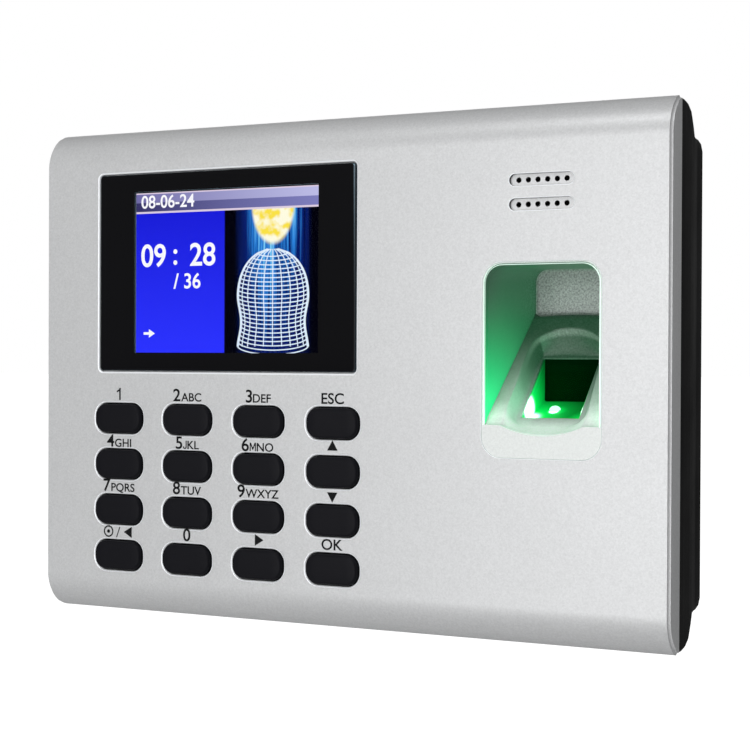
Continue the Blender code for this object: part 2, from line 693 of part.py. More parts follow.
def shell_bosses():
    """Posts that the case screws and the board screws go into."""
    front = BOARD_BACK + GAP
    posts = []
    for x, z in corner_places():
        rings = [circle(x, z, 4.6), circle(x, z, 1.6)]
        posts.append(front_plate("case_post", rings, front, BACK_WALL_BACK, CUTTERS))
    for x, z in BOARD_SCREWS:
        rings = [circle(x, z, 3.0), circle(x, z, 1.5)]
        posts.append(front_plate("board_post", rings, front, BACK_WALL_FRONT + 0.5, CUTTERS))
    return posts


def make_rear_shell():
    stages = shell_stages()
    shell = loft("rear_shell", shell_sections(stages))
    inner = [stage for stage in stages if stage[0] < BACK_WALL_FRONT]
    inner.append((BACK_WALL_FRONT, *inner[-1][1:]))
    inner[0] = (SHELL_FRONT - 1, *inner[0][1:])
    cut(shell, loft("shell_hollow", shell_sections(inner, SHELL_WALL), group=CUTTERS))
    insets = ((COVER_WALL + 0.5, COVER_WALL + 1.3), (COVER_WALL + 1.8, COVER_WALL + 2.6), (1.6, 1.2))
    tongue_outer, tongue_inner, ledge_outer = (
        centred(0, 0, WIDTH - 2 * side, 2 * HALF_HEIGHT - 2 * end, 1.4) for side, end in insets
    )
    tongue = front_plate("tongue", [tongue_outer, tongue_inner], 6.4, SHELL_FRONT + 2, CUTTERS)
    ledge = front_plate("ledge", [ledge_outer, tongue_inner], SHELL_FRONT + 0.3, SHELL_FRONT + 2, CUTTERS)
    join(shell, tongue, ledge, *shell_bosses())
    cut(shell, *back_wall_openings(), *screw_bores())
    return paint(shell, BLACK_PLASTIC, 0.42)


def back_wall_openings():
    """The wall plate's nest, and the holes for the sockets, the plunger, the hooks and the lock tab."""
    inside = BACK_WALL_FRONT - 1
    nest = centred(0, 0, 2 * (PLATE_HALF_WIDTH + 0.8), 2 * (PLATE_HALF_HEIGHT + 0.8), 4.0)
    cutters = [front_plate("plate_nest", [nest], BACK_WALL_BACK, DEPTH + 1, CUTTERS)]
    cutters.append(front_plate("bay_cut", [rounded_rectangle(*BAY, 2.0)], inside, DEPTH, CUTTERS))
    cutters.append(front_plate("plunger_hole", [circle(TAMPER_X, TAMPER_Z, 2.2)], inside, DEPTH, CUTTERS))
    reach = HOOK_WIDTH / 2 + 1
    for x in (-HOOK_X, HOOK_X):
        slot = rounded_rectangle(x - reach, x + reach, HOOK_Z - 1, HOOK_Z + 6, 0.8, 2)
        cutters.append(front_plate("hook_slot", [slot], inside, DEPTH, CUTTERS))
    cutters.append(box("tab_slot", -8, 8, inside, DEPTH, -PLATE_HALF_HEIGHT - 0.7, -51, CUTTERS))
    return cutters


def screw_bores():
    """Bores for the four case screws and, from below, for the locking screw."""
    cutters = []
    for x, z in corner_places():
        cutters.append(front_plate("head_bore", [circle(x, z, 2.9)], 25.0, DEPTH, CUTTERS))
        cutters.append(front_plate("shaft_bore", [circle(x, z, 1.6)], 20.0, 26.0, CUTTERS))
    profile = [(0, -50), (1.9, -50), (1.9, -57.0), (3.3, -57.0), (3.3, -62), (0, -62)]
    cutters.append(turned("lock_bore", profile, place(0, LOCK_SCREW_DEPTH, 0), steps=12, group=CUTTERS))
    return cutters


# Wall plate and screws


def keyhole(x, z):
    """A keyhole for a wall screw: a head hole with a slot above it."""
    head, slot = 4.0, 2.2
    meet = math.degrees(math.asin(slot / head))
    return arc(x, z, head, 90 + meet, 450 - meet, 12) + arc(x, z + 8, slot, 0, 180, 6)


def make_wall_plate():
    outline = centred(0, 0, 2 * PLATE_HALF_WIDTH, 2 * PLATE_HALF_HEIGHT, 4.0)
    holes = [keyhole(x, z) for x in (-62, 62) for z in (30, -28)] + [rounded_rectangle(*BAY, 3.0)]
    plate = front_plate("wall_plate", [outline] + holes, PLATE_FRONT, DEPTH)
    hooks = []
    for x in (-HOOK_X, HOOK_X):
        front = BACK_WALL_FRONT - 2.0
        hook = [(front, HOOK_Z), (PLATE_FRONT + 0.5, HOOK_Z), (PLATE_FRONT + 0.5, HOOK_Z + 1.5)]
        hook += [(front + 1.5, HOOK_Z + 1.5), (front + 1.5, HOOK_Z + 5.0), (front, HOOK_Z + 5.0)]
        hooks.append(side_plate("hook", hook, x - HOOK_WIDTH / 2, x + HOOK_WIDTH / 2, CUTTERS))
    tab = box("tab", -7, 7, 27.5, PLATE_FRONT + 0.5, -53.6, -52.1, CUTTERS)
    join(plate, *hooks, tab)
    hole = [(0, -50), (1.8, -50), (1.8, -56), (0, -56)]
    cut(plate, turned("tab_hole", hole, place(0, LOCK_SCREW_DEPTH, 0), steps=12, group=CUTTERS))
    return paint(plate, (0.03, 0.03, 0.032), 0.5, 0.5)


def make_screws():
    profile = [(0, 27.9), (2.0, 27.9), (2.6, 27.2), (2.6, 25.3), (1.3, 25.3), (1.3, 15.0), (0, 15.0)]
    for i, (x, z) in enumerate(corner_places(), 1):
        screw = turned(f"case_screw_{i}", profile, place(x, 0, z), FACING_BACK, 12)
        paint(screw, STEEL, 0.3, 1.0)
    lock = [(0, 58.9), (2.2, 58.9), (2.8, 58.3), (2.8, 57.3), (1.4, 57.3), (1.4, 50.5), (0, 50.5)]
    paint(turned("lock_screw", lock, place(0, LOCK_SCREW_DEPTH, 0), FACING_DOWN, 12), STEEL, 0.3, 1.0)


make_front_cover()
make_display()
make_lcd_cable()
make_keys()
make_keypad_mat()
make_speaker()
make_sensor_bezel()
make_sensor()
make_main_board()
make_sockets()
make_tamper_switch()
make_rear_shell()
make_wall_plate()
make_screws()
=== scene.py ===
"""The looks of a wall-mounted fingerprint scanner terminal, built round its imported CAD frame.

Lengths are in millimetres unless a name says otherwise. X runs to the right, Z runs up, and a depth is
measured backwards from the flat front face. place() turns them into metres in the frame.
"""

import itertools
import math

import bmesh
import bpy
from mathutils import Euler, Matrix, Vector


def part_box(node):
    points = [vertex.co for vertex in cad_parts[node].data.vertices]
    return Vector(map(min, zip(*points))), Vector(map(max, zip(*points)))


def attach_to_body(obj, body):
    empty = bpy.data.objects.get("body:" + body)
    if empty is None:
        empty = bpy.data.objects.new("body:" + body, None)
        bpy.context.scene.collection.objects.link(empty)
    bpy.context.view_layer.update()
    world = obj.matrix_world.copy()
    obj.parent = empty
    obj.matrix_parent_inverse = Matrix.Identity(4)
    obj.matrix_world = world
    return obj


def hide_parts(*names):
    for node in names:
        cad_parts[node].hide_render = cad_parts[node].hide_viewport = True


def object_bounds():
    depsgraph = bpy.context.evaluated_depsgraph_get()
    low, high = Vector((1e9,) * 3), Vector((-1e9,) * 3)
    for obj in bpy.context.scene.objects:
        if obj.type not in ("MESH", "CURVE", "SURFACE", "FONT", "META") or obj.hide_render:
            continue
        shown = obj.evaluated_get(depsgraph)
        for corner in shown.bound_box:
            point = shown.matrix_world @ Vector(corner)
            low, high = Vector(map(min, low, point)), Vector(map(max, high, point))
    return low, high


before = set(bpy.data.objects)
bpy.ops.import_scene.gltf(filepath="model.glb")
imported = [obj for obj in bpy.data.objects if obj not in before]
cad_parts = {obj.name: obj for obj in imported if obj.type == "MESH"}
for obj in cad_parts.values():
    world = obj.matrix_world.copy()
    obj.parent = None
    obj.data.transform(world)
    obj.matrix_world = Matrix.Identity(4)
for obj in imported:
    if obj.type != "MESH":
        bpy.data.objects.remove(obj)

CAD_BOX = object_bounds()
BODY = "terminal"
MM = 0.001
FACE_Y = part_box("front_cover")[0].y


def place(x, depth, z):
    """A place in millimetres as a vector in metres."""
    return Vector((x * MM, FACE_Y + depth * MM, z * MM))


def box_mm(node):
    """The lowest and highest (x, depth, z) of a CAD node in millimetres."""
    low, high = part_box(node)
    shift = Vector((0, FACE_Y, 0))
    return (low - shift) / MM, (high - shift) / MM


def middle(node):
    low, high = box_mm(node)
    return (low + high) / 2


# Cover
HALF_WIDTH = box_mm("front_cover")[1].x
EDGE_RADIUS = 10.0  # of the curved top and bottom edges
COVER_RIM = 8.0  # depth of the cover's back rim
FLAT_HALF_HEIGHT = 56.0  # where the flat face ends
COVER_WALL = 2.4
END_ROUND = 0.7  # rounding where the face meets the two ends
END_STEP, END_STEP_DEPTH = 0.22, 5.0  # small step along each end
END_STEP_RUN = 0.06  # depth over which the step is made
INNER_ROUND = 0.3  # rounding of the ends of the cover's inner skin
HOLE_ROUND, MOUTH_HOLE_ROUND, SLOT_ROUND = 0.5, 0.14, 0.24  # roundings on the rims of the holes in the face
BAND = 0.05  # narrow band on a hole's wall, over which the silver paint's painted highlight and painted shade change from one value to the next

# The shell's tongue in the joint behind the cover: how far it is set in, its thickness, and its depth
SEAM_INSET, SEAM_THICKNESS, SEAM_CORNER = 0.45, 2.95, 1.2
SEAM_GAP, SEAM_WIDTH = 0.06, 0.98

# Display
LENS_LOW, LENS_HIGH = box_mm("display_window")
SCREEN = middle("display_window")
WINDOW_CLEARANCE, LENS_ROUND = 0.3, 0.3
WINDOW_CORNER = 1.2
WINDOW_RECESS = 1.7
APERTURE_WIDTH, APERTURE_HEIGHT, APERTURE_CORNER = 66.0, 49.0, 1.0
PICTURE_WIDTH, PICTURE_HEIGHT = 58.5, 43.2
PICTURE_X, PICTURE_Z = SCREEN.x - 0.6, SCREEN.z
CLEAR_LEFT, CLEAR_RIGHT = PICTURE_X - PICTURE_WIDTH / 2 + 1.45, PICTURE_X + PICTURE_WIDTH / 2 + 0.15
PANEL_FRONT = box_mm("lcd_panel")[0].y
PICTURE_LIFT, PICTURE_THICKNESS, SIGN_LIFT = 0.1, 0.06, 0.17  # lifts are in front of the panel
STATUS_BAR = 0.877  # height of the status bar's lower edge, as a share of the picture
BAR_LINE = 0.006  # half the height of the light line under the status bar
STROKE_THICKNESS = 0.05  # of the lines drawn on the picture
SPLIT = 0.4904  # right edge of the blue panel, as a share of the picture
FINGER_CENTRE = 0.745  # middle of the fingertip and the beam, as a share of the picture
FINGER_HALF, FINGER_LOW, FINGER_HIGH = 0.185, 0.02, 0.63  # the fingertip's extent, as shares of the picture
FINGER_RINGS, RING_POINTS, RING_LINE, RING_SAG = 24, 18, 0.3, 0.055
FINGER_RIBS, RIB_POINTS, RIB_LINE, OUTLINE_LINE = 12, 24, 0.26, 0.4
RIB_START, RIB_END = 0.03, 0.995

# Keys
KEY_NAMES = ("1", "2", "3", "esc", "4", "5", "6", "up", "7", "8", "9", "down", "left", "0", "right", "ok")
KEY_FLANGE = 0.95
KEY_LOW, KEY_HIGH = box_mm("key_1")
KEY_WIDTH = KEY_HIGH.x - KEY_LOW.x - 2 * KEY_FLANGE
KEY_HEIGHT = KEY_HIGH.z - KEY_LOW.z - 2 * KEY_FLANGE
KEY_CORNER, KEY_LEAST_CORNER, KEY_CLEARANCE = 3.3, 0.5, 0.35
KEY_FLANGE_FRONT, KEY_FLANGE_BACK = 2.7, 3.5
KEY_ROUND, KEY_CROWN = 0.8, 0.12
KEY_DOME = 2.0  # width of the dome's slope, inside the round shoulder

# Speaker
SPEAKER = middle("speaker_foam")
SLOT_WIDTH, SLOT_HEIGHT, SLOT_SPACING, SLOT_DEPTH = 16.7, 2.9, 5.9, 1.0
SLOT_HOLES, HOLE_PITCH, HOLE_RADIUS = 6, 2.48, 0.68

# Finger recess
BEZEL_FLANGE = 2.6  # how far the bezel's flange reaches beyond the mouth
BEZEL_LOW, BEZEL_HIGH = box_mm("sensor_bezel")
RECESS_X = (BEZEL_LOW.x + BEZEL_HIGH.x) / 2
RECESS_HALF_WIDTH = (BEZEL_HIGH.x - BEZEL_LOW.x) / 2 - BEZEL_FLANGE
RECESS_BOTTOM, RECESS_TOP = -19.9, 26.9
RECESS_CORNER = 4.8
RECESS_DEPTH = 24.0
RECESS_BACK_HALF_WIDTH = 10.6
TOP_DRAFT, CORNER_LOSS = 0.02, 1.6  # the roof's slope, and how much smaller the corners are at the back
WALL_STEPS = 14  # spaces up each side wall
END_WALL_ROUND = 0.8
BEZEL_FRONT, BEZEL_WALL = 0.1, 0.7
MOUTH_RIM, MOUTH_CLEARANCE = 0.26, 0.05
MOUTH_STEPS = 10  # sides along each round corner of the mouth
MOUTH_ROUND, RIM_ROUND = 0.14, 0.08  # roundings of the recess's edge and of the bezel's outer edge
RAMP_START, RAMP_START_Z, RAMP_END_Z = 1.2, -12.2, 16.2
RAMP_SLOPE = (RAMP_END_Z - RAMP_START_Z) / (RECESS_DEPTH - RAMP_START)
TROUGH_START_Z = -15.3  # lowest line of the finger trough at the ramp's start; it climbs at 45 degrees
LIP_Z = -14.8  # lowest point of the lip where the trough starts in the face
TROUGH_FRONT_HALF, TROUGH_BACK_HALF = 10.8, 9.9
OPENING_START, OPENING_END, OPENING_HALF = 5.9, 19.6, 7.7
SLACK = 1e-6  # for comparing depths
GLASS_SETBACK = 1.2
LAMP_RADIUS, COLLAR_RADIUS = 1.25, 1.5
BLOCK_CLEARANCE, BLOCK_WALL = 0.25, 0.2  # the optical block stands clear of the opening's sides

# Outlines


def blend(start, end, share):
    return start + (end - start) * share


def arc(centre_a, centre_b, radius, start, end, steps):
    """Points on an arc, in degrees anticlockwise, as pairs."""
    angles = (math.radians(start + (end - start) * i / steps) for i in range(steps + 1))
    return [(centre_a + radius * math.cos(t), centre_b + radius * math.sin(t)) for t in angles]


def rounded(x, z, width, height, radius, steps=8):
    """A rectangle about (x, z) with round corners, anticlockwise from its top right corner."""
    right, top = width / 2 - radius, height / 2 - radius
    corners = ((right, top, 0), (-right, top, 90), (-right, -top, 180), (right, -top, 270))
    return [p for a, b, start in corners for p in arc(x + a, z + b, radius, start, start + 90, steps)]


def circle(x, z, radius, steps=20):
    return arc(x, z, radius, 0, 360 - 360 / steps, steps - 1)


def growing(x, z, width, height, corner, steps=8):
    """A function from how far it is grown to the outline of a rectangle with round corners."""
    return lambda extra: rounded(x, z, width + 2 * extra, height + 2 * extra, corner + extra, steps)


def key_opening(name):
    spot, extra = middle(f"key_{name}"), KEY_CLEARANCE
    return growing(spot.x, spot.z, KEY_WIDTH + 2 * extra, KEY_HEIGHT + 2 * extra, KEY_CORNER + extra)


def slot_outline(z):
    return growing(SPEAKER.x, z, SLOT_WIDTH, SLOT_HEIGHT, SLOT_HEIGHT / 2 - 0.01)


window_outline = growing(
    SCREEN.x, SCREEN.z, LENS_HIGH.x - LENS_LOW.x + 2 * WINDOW_CLEARANCE,
    LENS_HIGH.z - LENS_LOW.z + 2 * WINDOW_CLEARANCE, WINDOW_CORNER,
)
mouth_outline = growing(
    RECESS_X, (RECESS_TOP + RECESS_BOTTOM) / 2, 2 * RECESS_HALF_WIDTH, RECESS_TOP - RECESS_BOTTOM,
    RECESS_CORNER, MOUTH_STEPS,
)


# Meshes


def ring(shape, outline, depth):
    """A closed ring of vertices on an outline in X and Z, at one depth."""
    return [shape.verts.new(place(x, depth, z)) for x, z in outline]


def bridge(shape, first, second):
    """Quads between two closed rows of vertices with equal numbers."""
    for i in range(len(first)):
        j = (i + 1) % len(first)
        shape.faces.new((first[i], first[j], second[j], second[i]))


def bridge_all(shape, rows):
    for first, second in zip(rows, rows[1:]):
        bridge(shape, first, second)


def fill(shape, *loops):
    """Fills the flat region inside the first loop and outside the others."""
    edges = []
    for loop in loops:
        for i, vertex in enumerate(loop):
            following = loop[(i + 1) % len(loop)]
            edges.append(shape.edges.get((vertex, following)) or shape.edges.new((vertex, following)))
    bmesh.ops.triangle_fill(shape, edges=edges, use_beauty=True)


def finish_piece(name, shape, material, smooth=32.0, weighted=True):
    """Turns a bmesh into a shaded object with its material."""
    bmesh.ops.recalc_face_normals(shape, faces=shape.faces)
    mesh = bpy.data.meshes.new(name)
    shape.to_mesh(mesh)
    shape.free()
    mesh.shade_smooth()
    mesh.set_sharp_from_angle(angle=math.radians(smooth))
    mesh.materials.append(material)
    piece = bpy.data.objects.new(name, mesh)
    bpy.context.scene.collection.objects.link(piece)
    if weighted:
        piece.modifiers.new("weighted_normals", "WEIGHTED_NORMAL").keep_sharp = True
    return piece


def attach(piece, body, slot, *nodes):
    """Makes a piece ride on a body and stand for CAD nodes. The slot is not used."""
    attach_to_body(piece, body)
    if nodes:
        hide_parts(*nodes)


def rounding(radius, steps=4):
    """(outset, depth) pairs down a quarter round, from the face to the wall of a hole."""
    angles = (math.pi / 2 * i / steps for i in range(steps + 1))
    return [(radius * (1 - math.sin(t)), radius * (1 - math.cos(t))) for t in angles]


# Materials


class Nodes:
    """Short calls for the nodes of one tree. An input takes a number, a tuple or another node's output."""

    def __init__(self, tree):
        self.tree = tree

    def node(self, kind, inputs=None, **settings):
        made = self.tree.nodes.new(f"ShaderNode{kind}")
        for key, value in settings.items():
            setattr(made, key, value)
        for key, value in (inputs or {}).items():
            self.set(made.inputs[key], value)
        return made

    def set(self, socket, value):
        if isinstance(value, bpy.types.NodeSocket):
            self.tree.links.new(value, socket)
        else:
            socket.default_value = value

    def math(self, operation, first, second=0.0):
        return self.node("Math", {0: first, 1: second}, operation=operation).outputs[0]

    def join(self, operation, *values):
        """Sums, multiplies or takes the largest of any number of values."""
        joined = values[0]
        for value in values[1:]:
            joined = self.math(operation, joined, value)
        return joined

    def product(self, *factors):
        return self.join("MULTIPLY", *factors)

    def total(self, *terms):
        return self.join("ADD", *terms)

    def off(self, value, centre, half=1.0):
        """How far a value is from a centre, as a share of a half width."""
        return self.math("DIVIDE", self.math("SUBTRACT", value, centre), half)


class Paint(Nodes):
    """A node material that starts with a Principled BSDF."""

    def __init__(self, name):
        self.material = bpy.data.materials.new(name)
        self.material.use_nodes = True
        super().__init__(self.material.node_tree)
        self.surface = self.tree.nodes["Principled BSDF"]
        self.output = self.tree.nodes["Material Output"]
        self.place = self.node("TexCoord").outputs["Object"]

    def surface_set(self, **values):
        for key, value in values.items():
            self.set(self.surface.inputs[key.replace("_", " ")], value)

    def position(self):
        """X, Y and Z in the object's own space."""
        return self.node("SeparateXYZ", {0: self.place}).outputs

    def noise(self, size_mm, detail=2.0, roughness=0.5, stretch=None):
        """Noise from 0 to 1 whose features are about size_mm across."""
        where = self.place
        if stretch:
            where = self.node("VectorMath", {0: where, 1: stretch}, operation="MULTIPLY").outputs[0]
        inputs = {"Vector": where, "Scale": 1 / (size_mm * MM), "Detail": detail, "Roughness": roughness}
        return self.node("TexNoise", inputs).outputs["Fac"]

    def range(self, value, low, high, new_low=0.0, new_high=1.0, smooth=False):
        inputs = {"Value": value, "From Min": low, "From Max": high, "To Min": new_low, "To Max": new_high}
        kind = "SMOOTHSTEP" if smooth else "LINEAR"
        return self.node("MapRange", inputs, interpolation_type=kind, clamp=True).outputs["Result"]

    def band(self, value, start, full, fade, end):
        """0 to 1 as the value goes from start to full, and back to 0 as it goes from fade to end."""
        return self.product(self.range(value, start, full), self.range(value, end, fade))

    def ramp(self, value, *stops):
        """A colour that follows a value from 0 to 1. Each stop is a value and its sRGB colour."""
        made = self.node("ValToRGB", {0: value})
        elements = made.color_ramp.elements
        for spot, tint in stops:
            ends = {0: elements[0], 1: elements[-1]}
            stop = ends[spot] if spot in ends else elements.new(spot)
            stop.color = colour(*tint)
        return made.outputs[0]

    def mix(self, share, first, second, blend="MIX"):
        made = self.node("Mix", data_type="RGBA", blend_type=blend)
        for index, value in ((0, share), (6, first), (7, second)):
            self.set(made.inputs[index], value)
        return made.outputs[2]

    def scaled(self, colour, factor):
        """A colour times a number that a node works out."""
        grey = self.node("CombineColor", {0: factor, 1: factor, 2: factor}).outputs[0]
        return self.mix(1.0, colour, grey, "MULTIPLY")

    def bump(self, height, depth_mm):
        self.surface_set(Normal=self.node("Bump", {"Height": height, "Distance": depth_mm * MM}).outputs[0])

    def sheen(self, ior):
        """How much a clear surface reflects: only on the way in, so that a pane stays clear at any angle."""
        entering = self.math("SUBTRACT", 1.0, self.node("NewGeometry").outputs["Backfacing"])
        return self.math("MULTIPLY", entering, self.node("Fresnel", {"IOR": ior}).outputs[0])

    def pane(self, ior, roughness, tint=(1, 1, 1, 1)):
        """A shader for a clear sheet with a surface reflection."""
        clear = self.node("BsdfTransparent", {"Color": tint}).outputs[0]
        gloss = self.node("BsdfGlossy", {"Roughness": roughness}).outputs[0]
        return self.node("MixShader", {0: self.sheen(ior), 1: clear, 2: gloss}).outputs[0]

    def edges(self, low=0.51, high=0.58):
        """0 to 1 along convex edges, where a finish wears first and where the lens gets a painted highlight.
        """
        return self.range(self.node("NewGeometry").outputs["Pointiness"], low, high)


def colour(red, green, blue):
    """An sRGB colour, 0 to 255, as a linear one."""
    def linear(value):
        share = value / 255
        return share / 12.92 if share <= 0.04045 else ((share + 0.055) / 1.055) ** 2.4

    return (linear(red), linear(green), linear(blue), 1.0)


def moulded(
    name, tint, roughness, grain=0.25, depth=0.02, metallic=0.0, specular=0.5, wear=0.15, spread=0.08
):
    """Plastic, rubber, paint or metal: a tint with mottling, fine grain, and slightly worn edges."""
    paint = Paint(name)
    fine, broad, smudges = paint.noise(grain, 2.0), paint.noise(9.0, 3.0), paint.noise(22.0, 4.0, 0.6)
    mottling = paint.range(broad, 0.3, 0.7, 1 - spread / 2, 1 + spread / 2)
    shade = paint.product(paint.range(fine, 0.3, 0.7, 1 - spread, 1 + spread), mottling)
    light = tuple(min(1.0, c * 1.6 + 0.05) for c in tint[:3]) + (1.0,)
    base = paint.mix(paint.product(paint.edges(), wear), paint.scaled(tint, shade), light)
    rough = paint.range(smudges, 0.3, 0.7, roughness - 0.05, roughness + 0.06)
    paint.surface_set(Base_Color=base, Roughness=rough, Metallic=metallic, Specular_IOR_Level=specular)
    paint.bump(fine, depth)
    return paint.material


def silver_paint():
    """Sparkling silver lacquer over plastic, with a painted highlight and a faint painted glow on the rims
    of the holes, and painted shade on the walls of the speaker slots and bores.
    """
    paint = Paint("silver_paint")
    flakes = paint.node("TexVoronoi", {"Vector": paint.place, "Scale": 1 / (0.33 * MM)}).outputs["Color"]
    flake = paint.node("SeparateColor", {0: flakes}).outputs[0]
    grain, drift = paint.noise(0.6, 3.0), paint.noise(30.0, 2.0)
    sparkle = paint.range(flake, 0.0, 1.0, -0.045, 0.045)
    shade = paint.total(sparkle, paint.range(grain, 0.3, 0.7, 0.96, 1.04))
    shade = paint.product(shade, paint.range(drift, 0.3, 0.7, 0.99, 1.01))
    # The rim value paints a highlight and a faint glow where it is 1 (rims of the holes) and shade where it
    # is -1 (walls of the slots and bores).
    rim = paint.node("Attribute", attribute_name="rim").outputs["Fac"]
    base = paint.mix(rim, paint.scaled(colour(206, 207, 208), shade), colour(240, 244, 248))
    base = paint.mix(paint.range(rim, 0.0, -1.0), base, colour(22, 23, 26))
    paint.surface_set(Base_Color=base, Metallic=0.28, Specular_IOR_Level=0.4)
    paint.surface_set(Emission_Color=(1, 1, 1, 1), Emission_Strength=paint.range(rim, 0.0, 1.0, 0.0, 0.16))
    paint.surface_set(Roughness=paint.range(paint.noise(0.5, 2.0), 0.3, 0.7, 0.36, 0.46))
    paint.bump(grain, 0.012)
    return paint.material


def bezel_paint():
    """Grey plastic, silver in the face, with painted shade that darkens it down the recess, painted
    highlights, and painted green light on the recess's walls.
    """
    paint = Paint("bezel_paint")
    _, back, up = paint.position()
    depth, height = paint.off(back, FACE_Y, MM), paint.off(up, 0.0, MM)
    slope = paint.total(paint.product(depth, RAMP_SLOPE), RAMP_START_Z - RAMP_SLOPE * RAMP_START)
    above = paint.math("SUBTRACT", height, paint.math("MAXIMUM", slope, RAMP_START_Z))
    grain, speckle = paint.noise(0.45, 2.0), paint.noise(0.9, 3.0)

    # Colour: by depth, as painted shade that deepens down the recess with painted highlight bands, then a
    # painted highlight on the trough's arch, painted green light and shade on the walls, and painted
    # highlights at the mouth and the corners
    face, shaded_end_wall = (226, 230, 228), (158, 163, 161)
    # Painted shade darker with depth, a painted highlight band a few millimetres in, and a painted highlight
    # line at the end wall's rounded edge
    base = paint.ramp(
        paint.range(depth, 0.0, RECESS_DEPTH),
        (0, face), (1, shaded_end_wall), (0.02, face), (0.12, (240, 246, 243)), (0.25, (178, 187, 182)),
        (0.5, (118, 128, 122)), (0.8, (70, 77, 73)), (0.93, (60, 70, 65)), (0.967, (66, 74, 70)),
        (0.975, (236, 240, 238)), (0.985, shaded_end_wall),
    )
    # Painted highlight: a lighter band just below the edge of the trough's arched end
    arch = paint.product(paint.band(above, -3.0, -1.8, -0.7, -0.2), paint.range(depth, 13.0, 17.0, 0.0, 0.7))
    base = paint.mix(arch, base, colour(132, 136, 134))
    # Painted green light low on the recess's walls, giving way to painted shade higher up
    wall = paint.product(paint.range(above, 0.1, 0.7), paint.band(depth, 0.3, 0.7, 23.2, 23.5))
    wall_light_and_shade = paint.mix(paint.range(height, -12.0, 24.0), colour(50, 120, 84), colour(112, 112, 116))
    base = paint.mix(wall, base, wall_light_and_shade)
    # Painted highlights: a line just inside the mouth, lines where the walls meet the ramp, and a pale
    # crescent on the trough's front; light takes the brightest of them
    mouth = paint.band(depth, 0.12, 0.2, 0.55, 0.7)
    corner = paint.product(paint.band(above, 0.02, 0.06, 0.22, 0.3), wall, 0.5)
    crescent_highlight = paint.product(paint.range(above, -0.1, -0.6), paint.band(depth, 0.12, 0.3, 2.0, 5.0), 0.35)
    light = paint.join("MAXIMUM", mouth, corner, crescent_highlight)
    base = paint.mix(light, base, colour(244, 250, 247))

    coarse = paint.range(depth, 16.0, 23.0, 0.03, 0.42)
    rough_cast = paint.total(1.0, paint.product(coarse, paint.range(grain, 0.3, 0.7, -1.0, 1.0)))
    shade = paint.product(rough_cast, paint.range(speckle, 0.3, 0.7, 0.96, 1.04))
    paint.surface_set(Base_Color=paint.scaled(base, shade), Metallic=0.1, Specular_IOR_Level=0.35)
    paint.surface_set(Roughness=paint.range(speckle, 0.3, 0.7, 0.36, 0.48))

    # Painted green light, as the sensor throws it on the walls, strongest low down and near the mouth, with
    # a faint painted green glow down the ramp and a painted white glow on the painted highlights
    low = paint.math("POWER", paint.range(height, 26.0, -8.0), 2.2)
    spill = paint.total(paint.product(low, paint.range(depth, 22.0, 0.0, 0.12, 1.0)), 0.03)
    on_ramp = paint.product(paint.band(depth, 1.0, 8.0, 22.0, 23.5), 0.035)
    strength = paint.total(paint.product(wall, spill, 0.95), on_ramp, paint.product(light, 0.3))
    tint = paint.mix(light, (0.0, 1.0, 0.28, 1), colour(225, 255, 240))
    paint.surface_set(Emission_Color=tint, Emission_Strength=strength)
    paint.bump(grain, 0.03)
    return paint.material


def lens_plastic():
    """Gloss black round a clear area that shows the display, with a painted highlight along its rounded
    edges.
    """
    paint = Paint("lens_plastic")
    across, _, up = paint.position()
    off_x = paint.math("ABSOLUTE", paint.off(across, (CLEAR_LEFT + CLEAR_RIGHT) / 2 * MM, MM))
    off_z = paint.math("ABSOLUTE", paint.off(up, PICTURE_Z * MM, MM))
    in_width = paint.math("LESS_THAN", off_x, (CLEAR_RIGHT - CLEAR_LEFT) / 2)
    in_height = paint.math("LESS_THAN", off_z, PICTURE_HEIGHT / 2 + 0.1)
    # Painted highlight: a pale bluish line along the lens's convex edges
    rim = paint.product(paint.edges(0.53, 0.62), 0.8)
    base = paint.mix(rim, colour(8, 8, 11), colour(150, 175, 190))
    paint.surface_set(Base_Color=base, Specular_IOR_Level=0.14)
    paint.surface_set(Roughness=paint.range(paint.noise(14.0, 4.0), 0.3, 0.7, 0.05, 0.1))
    share = paint.product(in_width, in_height)
    both = paint.node("MixShader", {0: share, 1: paint.surface.outputs[0], 2: paint.pane(1.18, 0.06)})
    paint.set(paint.output.inputs["Surface"], both.outputs[0])
    return paint.material


def clear_glass(name, tint):
    """Thin glass: clear, with a surface reflection and faint smudges."""
    paint = Paint(name)
    haze = paint.range(paint.noise(4.0, 4.0), 0.35, 0.75, 0.03, 0.09)
    paint.set(paint.output.inputs["Surface"], paint.pane(1.1, haze, tint))
    return paint.material


def glow(name, tint, strength):
    """Evenly lit ink or light, with a slight unevenness."""
    paint = Paint(name)
    shade = paint.range(paint.noise(1.5, 2.0), 0.3, 0.7, 0.94 * strength, 1.06 * strength)
    paint.surface_set(Base_Color=(0, 0, 0, 1), Specular_IOR_Level=0.0)
    paint.surface_set(Emission_Color=tint, Emission_Strength=shade)
    return paint.material


